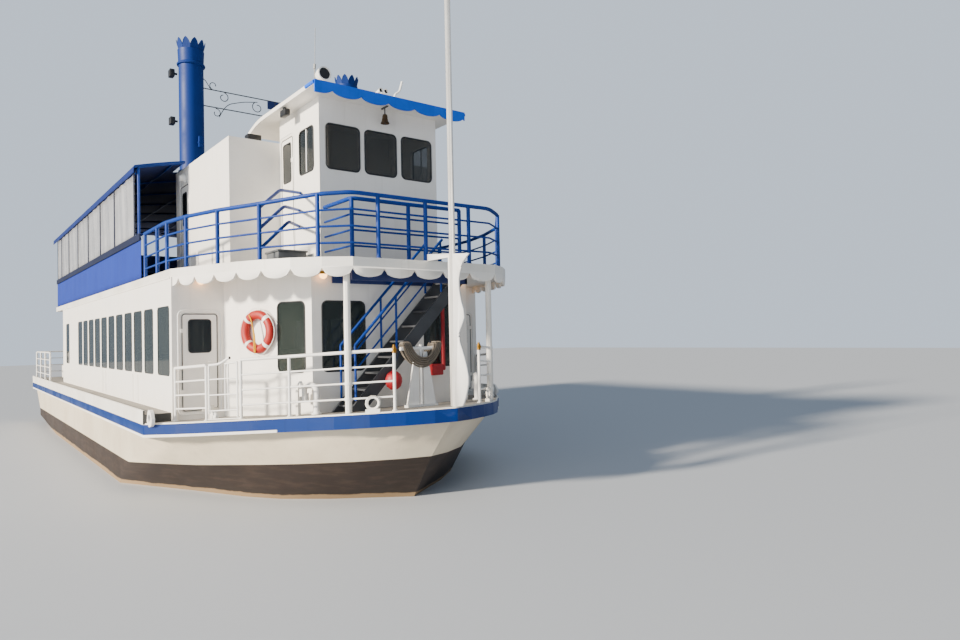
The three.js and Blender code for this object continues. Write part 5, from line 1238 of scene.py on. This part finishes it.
# %% Radar scanner, searchlight and whip antenna
radar_low, radar_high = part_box("radar_scanner")
mid_x, mid_y = (radar_low.x + radar_high.x) / 2, (radar_low.y + radar_high.y) / 2
shaped("radar_bar", [
    turned([(0, 0), (0.088, 0), (0.09, 0.012), (0.08, 0.06), (0, 0.068)], (mid_x, mid_y, radar_low.z), sides=28),
    box((mid_x - 0.058, radar_low.y + 0.002, radar_low.z + 0.062),
        (mid_x + 0.058, radar_high.y - 0.002, radar_high.z - 0.001), 0.028)],
    TRIM_WHITE, "radar_scanner", ["radar_scanner"])

LAMP_AT = Vector((8.70, -1.265, ROOF_TOP + 0.187))
HOUSING = [(0, -0.11), (0.06, -0.105), (0.095, -0.07), (0.108, 0.0), (0.11, 0.095), (0.116, 0.1),
           (0.116, 0.11), (0.096, 0.11), (0.092, 0.06), (0, 0.05)]
shaped("searchlight_housing", [
    turned(HOUSING, LAMP_AT, (1, 0, 0), 30),
    turned([(0.045, 0), (0.045, 0.02), (0.022, 0.03), (0.022, 0.1)], (LAMP_AT.x, LAMP_AT.y, ROOF_TOP - 0.001),
           sides=16)], TRIM_WHITE, stands_for=["searchlight"])
shaped("searchlight_lens", [turned([(0, 0.07), (0.094, 0.08), (0.095, 0.094), (0, 0.1)], LAMP_AT, (1, 0, 0), 30)],
       BLACK)
whip = [(8.47, -1.29, ROOF_TOP), (8.47, -1.29, ROOF_TOP + 0.36), (8.47, -1.285, ROOF_TOP + 0.44),
        (8.5, -1.28, ROOF_TOP + 1.05)]
bars("whip_antenna", [(whip[i:i + 2], half) for i, half in enumerate((0.012, 0.022, 0.005))], GREY, sides=8)

# %% Floodlight and box by the pilothouse
shaped("floodlight", [box((7.40, -1.48, 6.66), (7.64, -1.38, 6.78), 0.02),
                      box((7.49, -1.46, 6.77), (7.55, -1.41, 6.82), 0.005)], BLACK)
shaped("casing_top_box", [box((6.26, -1.72, 6.4), (6.46, -1.46, 6.58), 0.02)], BLACK)

# %% [markdown]
# ## Hull and smooth plating
# The CAD's hull is made of flat triangles, which would show as a sawtooth of light along the flared bow.
# A copy of it is merged into one skin and shaded smooth between its real edges, and stands for the node.
# The rub band, the scalloped valance and the stem board are treated the same way.

# %% Smooth copies of plated nodes
MERGE_WITHIN, ON_CENTRE = 0.0002, 0.002


def smooth_copy(node, finish, angle=28):
    """A smooth skin of a CAD node, whose edges on the centreline stay sharp."""
    form = bmesh.new()
    form.from_mesh(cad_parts[node].data)
    bmesh.ops.remove_doubles(form, verts=form.verts, dist=MERGE_WITHIN)
    mesh = bpy.data.meshes.new(node + "_plating")
    form.to_mesh(mesh)
    form.free()
    mesh.materials.clear()
    mesh.materials.append(finish)
    mesh.shade_smooth()
    mesh.set_sharp_from_angle(angle=math.radians(angle))
    sharp = mesh.attributes.get("sharp_edge") or mesh.attributes.new("sharp_edge", "BOOLEAN", "EDGE")
    for edge in mesh.edges:
        if all(abs(mesh.vertices[v].co.y) < ON_CENTRE for v in edge.vertices):
            sharp.data[edge.index].value = True
    settle(new_object(node + "_plating", mesh), stands_for=[node])


smooth_copy("hull", HULL_PAINT)
smooth_copy("rub_band", RUB_PAINT)
smooth_copy("deck_valance", WHITE)
smooth_copy("stem_board", TRIM_WHITE, 40)

# %% [markdown]
# ## Lifebuoys
# A lifebuoy is a soft foam ring with four white bands and a grab line looped round it. The ring is turned
# on the house wall's own slope. The line is fixed at each band and hangs slack between the bands.

# %% Rings, bands and grab lines
BUOY_RING, BUOY_TUBE, BUOY_Z, TUBE_SIDES, LINE_STEPS = 0.29, 0.076, 2.827, 16, 96
BUOY_TAIL = [(-0.06, 0.2), (-0.02, 0.05), (0.0, -0.12), (-0.01, -0.3), (0.02, -0.36), (0.03, -0.25), (0.01, -0.05),
             (-0.05, 0.16)]


def buoy_place(side):
    """Centre of a lifebuoy, its direction along the wall and its direction away from the wall."""
    away = Vector((-SLANT.y, SLANT.x, 0)).normalized()
    away = Vector((away.x, side * away.y, 0))
    return Vector((*on_slant(0.437, side), BUOY_Z)) + away * (BUOY_TUBE * 0.93), UP.cross(away), away


def ring_point(place, angle, ring, lift=0.0):
    centre, along, away = place
    return centre + along * (ring * math.cos(angle)) + UP * (ring * math.sin(angle)) + away * lift


@part
def tube_around(form, place, ring, tube, first, last, steps):
    """Part of a ring's tube between two angles, closed at its ends unless it goes all the way round."""
    whole = last - first > 2 * math.pi - 0.001
    centre, _, away = place
    rows = []
    for angle in evenly(first, last, steps)[:steps if whole else None]:
        outward = (ring_point(place, angle, 1.0) - centre).normalized()
        middle = ring_point(place, angle, ring)
        rows.append([form.verts.new(middle + outward * (tube * math.cos(t)) + away * (tube * 0.86 * math.sin(t)))
                     for t in evenly(0, 2 * math.pi, TUBE_SIDES)[:-1]])
    for before, after in list(zip(rows, rows[1:])) + ([(rows[-1], rows[0])] if whole else []):
        for k in range(TUBE_SIDES):
            j = (k + 1) % TUBE_SIDES
            form.faces.new((before[k], before[j], after[j], after[k]))
    if not whole:
        form.faces.new(rows[0])
        form.faces.new(rows[-1])


for side_name, side in SIDES:
    place = buoy_place(side)
    shaped(f"lifebuoy_ring_{side_name}", [tube_around(place, BUOY_RING, BUOY_TUBE, 0, 2 * math.pi, 56)], BUOY,
           stands_for=[f"lifebuoy_{side_name}"])
    shaped(f"lifebuoy_bands_{side_name}",
           [tube_around(place, BUOY_RING, BUOY_TUBE + 0.0025, middle - 0.09, middle + 0.09, 4)
            for middle in map(math.radians, (45, 135, 225, 315))], TRIM_WHITE)
    grab_line = []
    for angle in evenly(0, 2 * math.pi, LINE_STEPS):
        slack = abs(math.sin(2 * (angle - math.radians(45))))
        grab_line.append(ring_point(place, angle, BUOY_RING + BUOY_TUBE + 0.006 + 0.028 * slack, 0.01))
    bars(f"lifebuoy_line_{side_name}", [(grab_line, 0.006)], TRIM_WHITE, sides=8)
    centre, across, away = place
    tail = [ring_point(place, math.radians(112), BUOY_RING + 0.02, 0.07)]
    tail += [centre + across * x + UP * z + away * 0.075 for x, z in BUOY_TAIL]
    bars(f"lifebuoy_tail_{side_name}", [(bent(tail, 0.06, 5), 0.011)], WEBBING_YELLOW, sides=8)

# %% [markdown]
# ## Deck fittings
# Bitts, vents, fairleads, a float and lamps are small, but a deck without them looks like a model. Each
# one stands on the deck, a rail or a wall, and is made of turned shapes, pipes and soft-edged boxes.

# %% Vents, bitts and fairleads
VENT_FOOT, VENT_MOUTH = (9.02, 1.60), (8.82, 1.72)
BITT_Y, BITT_HEIGHT = 2.8, 0.13
FAIRLEAD_X, FAIRLEAD_Y, FAIRLEAD_STEPS = 7.04, 3.56, 24


def deck_z(x):
    return foredeck_height(x) - 0.004


vent_lines, bitt_lines = [], []
for _, side in SIDES:
    (foot, mouth), foot_z, high = mirrored((VENT_FOOT, VENT_MOUTH), side), deck_z(VENT_FOOT[0]), deck_z(9)
    arch = [(*foot, foot_z), (*foot, high + 0.46), (*mouth, high + 0.46), (*mouth, high + 0.26)]
    vent_lines += [(bent(arch, 0.1, 8), 0.05), upright(*mouth, high + 0.34, high + 0.2, 0.075),
                   upright(*foot, foot_z, foot_z + 0.03, 0.08)]
    y = side * BITT_Y
    for x in (7.71, 7.85):
        top = deck_z(x) + BITT_HEIGHT
        bitt_lines += [upright(x, y, deck_z(x), top, 0.042), upright(x, y, top, top + 0.015, 0.052)]
    bitt_lines.append(lengthwise((7.64, 7.92), y, deck_z(7.6) + 0.09, 0.026))
bars("deck_vents", vent_lines, TRIM_WHITE, sides=16)
bars("foredeck_bitts", bitt_lines, TRIM_WHITE, sides=16)


@part
def fairlead(form, side):
    """A plate with an oval hole: four rings of faces round the hole keep it one clean ring."""
    outer, inner = [], []
    for angle in evenly(0, 2 * math.pi, FAIRLEAD_STEPS)[:-1]:
        across, up = math.cos(angle), math.sin(angle)
        outer.append((FAIRLEAD_X + 0.15 * across * (1.0 if up > 0 else 1.15), side * FAIRLEAD_Y, 1.45 + 0.14 * up))
        inner.append((FAIRLEAD_X + 0.085 * across, side * FAIRLEAD_Y, 1.455 + 0.06 * up))
    near_out, far_out, near_in, far_in = (
        [form.verts.new(Vector(p) + Vector((0, shift, 0))) for p in loop]
        for loop in (outer, inner) for shift in (0, side * 0.05))
    for i in range(FAIRLEAD_STEPS):
        j = (i + 1) % FAIRLEAD_STEPS
        form.faces.new((near_out[i], near_out[j], near_in[j], near_in[i]))
        form.faces.new((far_out[j], far_out[i], far_in[i], far_in[j]))
        form.faces.new((near_out[j], near_out[i], far_out[i], far_out[j]))
        form.faces.new((near_in[i], near_in[j], far_in[j], far_in[i]))


for side_name, side in SIDES:
    shaped(f"fairlead_{side_name}", [fairlead(side)], TRIM_WHITE)

# %% Float, fire main and lockers
FLOAT_AT = (9.5, -0.47, 1.99)
FLOAT_PROFILE = [(0, -0.155), (0.06, -0.148), (0.115, -0.1), (0.137, -0.03), (0.137, 0.03), (0.11, 0.1),
                 (0.055, 0.142), (0.02, 0.155), (0.02, 0.18), (0, 0.184)]
RISER_X, RISER_Y, RISER_FOOT, RISER_TOP = 8.88, 0.955, 2.08, 3.36
RISER = RISER_TOP - RISER_FOOT
BEHIND_WALL = HOUSE_FRONT - 0.004
shaped("mooring_float", [turned(FLOAT_PROFILE, FLOAT_AT, sides=32)], RED)
bars("float_line", [([(*FLOAT_AT[:2], FLOAT_AT[2] + 0.18), (9.56, -0.40, 2.44), (9.60, -0.37, 2.50)], 0.007)],
     WEBBING, sides=8)
shaped("fire_main", [
    turned([(0, 0), (0.034, 0), (0.034, RISER), (0, RISER)], (RISER_X, RISER_Y, RISER_FOOT), sides=20),
    *(box((BEHIND_WALL, RISER_Y - 0.05, z - 0.03), (RISER_X, RISER_Y + 0.05, z + 0.03))
      for z in (RISER_TOP - 0.05, RISER_FOOT + 0.05)),
    box((BEHIND_WALL, 0.66, 1.99), (8.96, 0.90, 2.19), 0.02),
    turned([(0, 0), (0.05, 0), (0.05, 0.03), (0.03, 0.04), (0.03, 0.12), (0, 0.12)], (RISER_X, 0.86, 2.1),
           (0, 1, 0), 20)], RED)
shaped("deck_locker", [box((7.55, -1.82, DECK_TOP - 0.001), (8.1, -1.32, DECK_TOP + 0.25), 0.012),
                       box((7.53, -1.84, DECK_TOP + 0.25), (8.12, -1.3, DECK_TOP + 0.285), 0.012)], GREY_DARK)
shaped("stern_lockers", [box((-9.6, y - 0.45, 1.499), (-8.9, y + 0.45, 1.95), 0.02) for y in (-2.4, 2.4)], WHITE)

# %% Lamps under the deck and on the casing
LAMP_SPOTS = [(x, side * y, 3.7803) for x, y in ((7.03, 2.77), (8.89, 1.39)) for _, side in SIDES]
LAMP_BASE = [(0, 0), (0.085, 0), (0.085, -0.03), (0.07, -0.045), (0, -0.046)]
LAMP_GLOBE = [(0.06, -0.04), (0.066, -0.06), (0.05, -0.1), (0.02, -0.12), (0, -0.122)]
shaped("deck_lamp_bases", [turned(LAMP_BASE, spot, sides=24) for spot in LAMP_SPOTS], BRASS)
shaped("deck_lamp_globes", [turned(LAMP_GLOBE, spot, sides=20) for spot in LAMP_SPOTS], LAMP)
shaped("casing_lamp", [turned([(0, 0), (0.1, 0), (0.1, 0.03), (0.075, 0.05), (0.06, 0.11), (0, 0.13)],
                              (CASING_X, CASING_Y, UPPER_SILL + 2.2), (0, -1, -0.15), 24)], TRIM_WHITE)

# %% Guard bars beside the pilothouse, casing frame and mouldings
GUARDS = [  # height at the rail, x at the wall, and x and height of the knee between
    (4.745, 7.62, 8.16, 5.19), (4.42, 7.55, 8.32, 4.89), (4.10, 7.52, 8.50, 4.61)]
bars("pilothouse_guard_bars", [
    (bent([(8.76, -2.375, rail_z), (knee_x, -1.80, knee_z), (wall_x, -1.205, knee_z + 0.11)], 0.12, 6), 0.027)
    for rail_z, wall_x, knee_x, knee_z in GUARDS], RAIL_BLUE)
casing_frame = [(x, CASING_Y - 0.002, z) for x, z in ((3.50, UPPER_SILL), (3.50, 6.36), (4.17, 6.36),
                                                      (4.17, UPPER_SILL))]
bars("casing_frame", [(bent(casing_frame, 0.12, 5), 0.014)], TRIM_WHITE, sides=8)
bars("saloon_seams", [upright(x, side * (CABIN_HALF + 0.004), 1.53, 2.06, 0.012)
                      for _, side in SIDES for x in (0.67, 1.05, 3.95, 4.4)], WHITE, sides=8)
bars("deck_edge_moulding", [lengthwise((CABIN_AFT, 6.86), side * (CABIN_HALF + 0.002), 3.77, 0.014)
                            for _, side in SIDES], WHITE, sides=8)

# %% Blue coaming round the stairwell, under the deck
shaped("stairwell_coaming", [box((*low, 3.60), (*high, 3.7795), 0.004) for low, high in (
    ((8.80, -1.2), (8.845, 1.05)), ((9.475, -1.2), (9.52, 1.05)), ((8.80, 1.005), (9.52, 1.05)))], NAVY)

# %% [markdown]
# ## Floor and light
# The ferry floats, so a plain pale floor lies at z = 0, level with its waterline. The sun is low on the
# starboard bow side: one warm lamp with a soft edge. A wide cool area light off the same bow and a plain
# pale world fill the rest.

# %% Stage
FLOOR_HALF = 90.0
floor_mesh = bpy.data.meshes.new("floor")
floor_mesh.from_pydata([(x * FLOOR_HALF, y * FLOOR_HALF, 0) for x, y in ((-1, -1), (1, -1), (1, 1), (-1, 1))],
                       [], [(0, 1, 2, 3)])
floor = new_object("floor", floor_mesh)
floor_mesh.materials.append(finished(new_material("floor_paint")[0],
                                     {"Base Color": rgba("bcc0c5"), "Roughness": 0.6}))


def add_light(name, kind, place, target, energy, colour, **more):
    data = bpy.data.lights.new(name, kind)
    for key, value in {"energy": energy, "color": colour, **more}.items():
        setattr(data, key, value)
    lamp = bpy.data.objects.new(name, data)
    lamp.location = place
    lamp.rotation_mode = "QUATERNION"
    lamp.rotation_quaternion = (Vector(target) - Vector(place)).to_track_quat("-Z", "Y")
    bpy.context.scene.collection.objects.link(lamp)


add_light("sun", "SUN", (-1, -30, 13), (0, 0, 3), 11.0, (1.0, 0.90, 0.76), angle=math.radians(5))
add_light("bow_fill", "AREA", (21, -23, 5), (6, 0, 2.5), 3000, (0.86, 0.92, 1.0), size=16)
world = bpy.data.worlds.new("sky")
world.use_nodes = True
sky = world.node_tree
fill(sky, sky.nodes["Background"], {"Color": (0.66, 0.80, 1.0, 1), "Strength": 0.46})
seen_sky = wire(sky, "ShaderNodeBackground", {"Color": (0.72, 0.83, 0.97, 1), "Strength": 1.0})[0]
chosen = wire(sky, "ShaderNodeMixShader", {0: sky.nodes.new("ShaderNodeLightPath").outputs["Is Camera Ray"],
                                           1: sky.nodes["Background"].outputs[0], 2: seen_sky})[0]
fill(sky, sky.nodes["World Output"], {"Surface": chosen})
bpy.context.scene.world = world
print("lights:", len(bpy.data.lights))
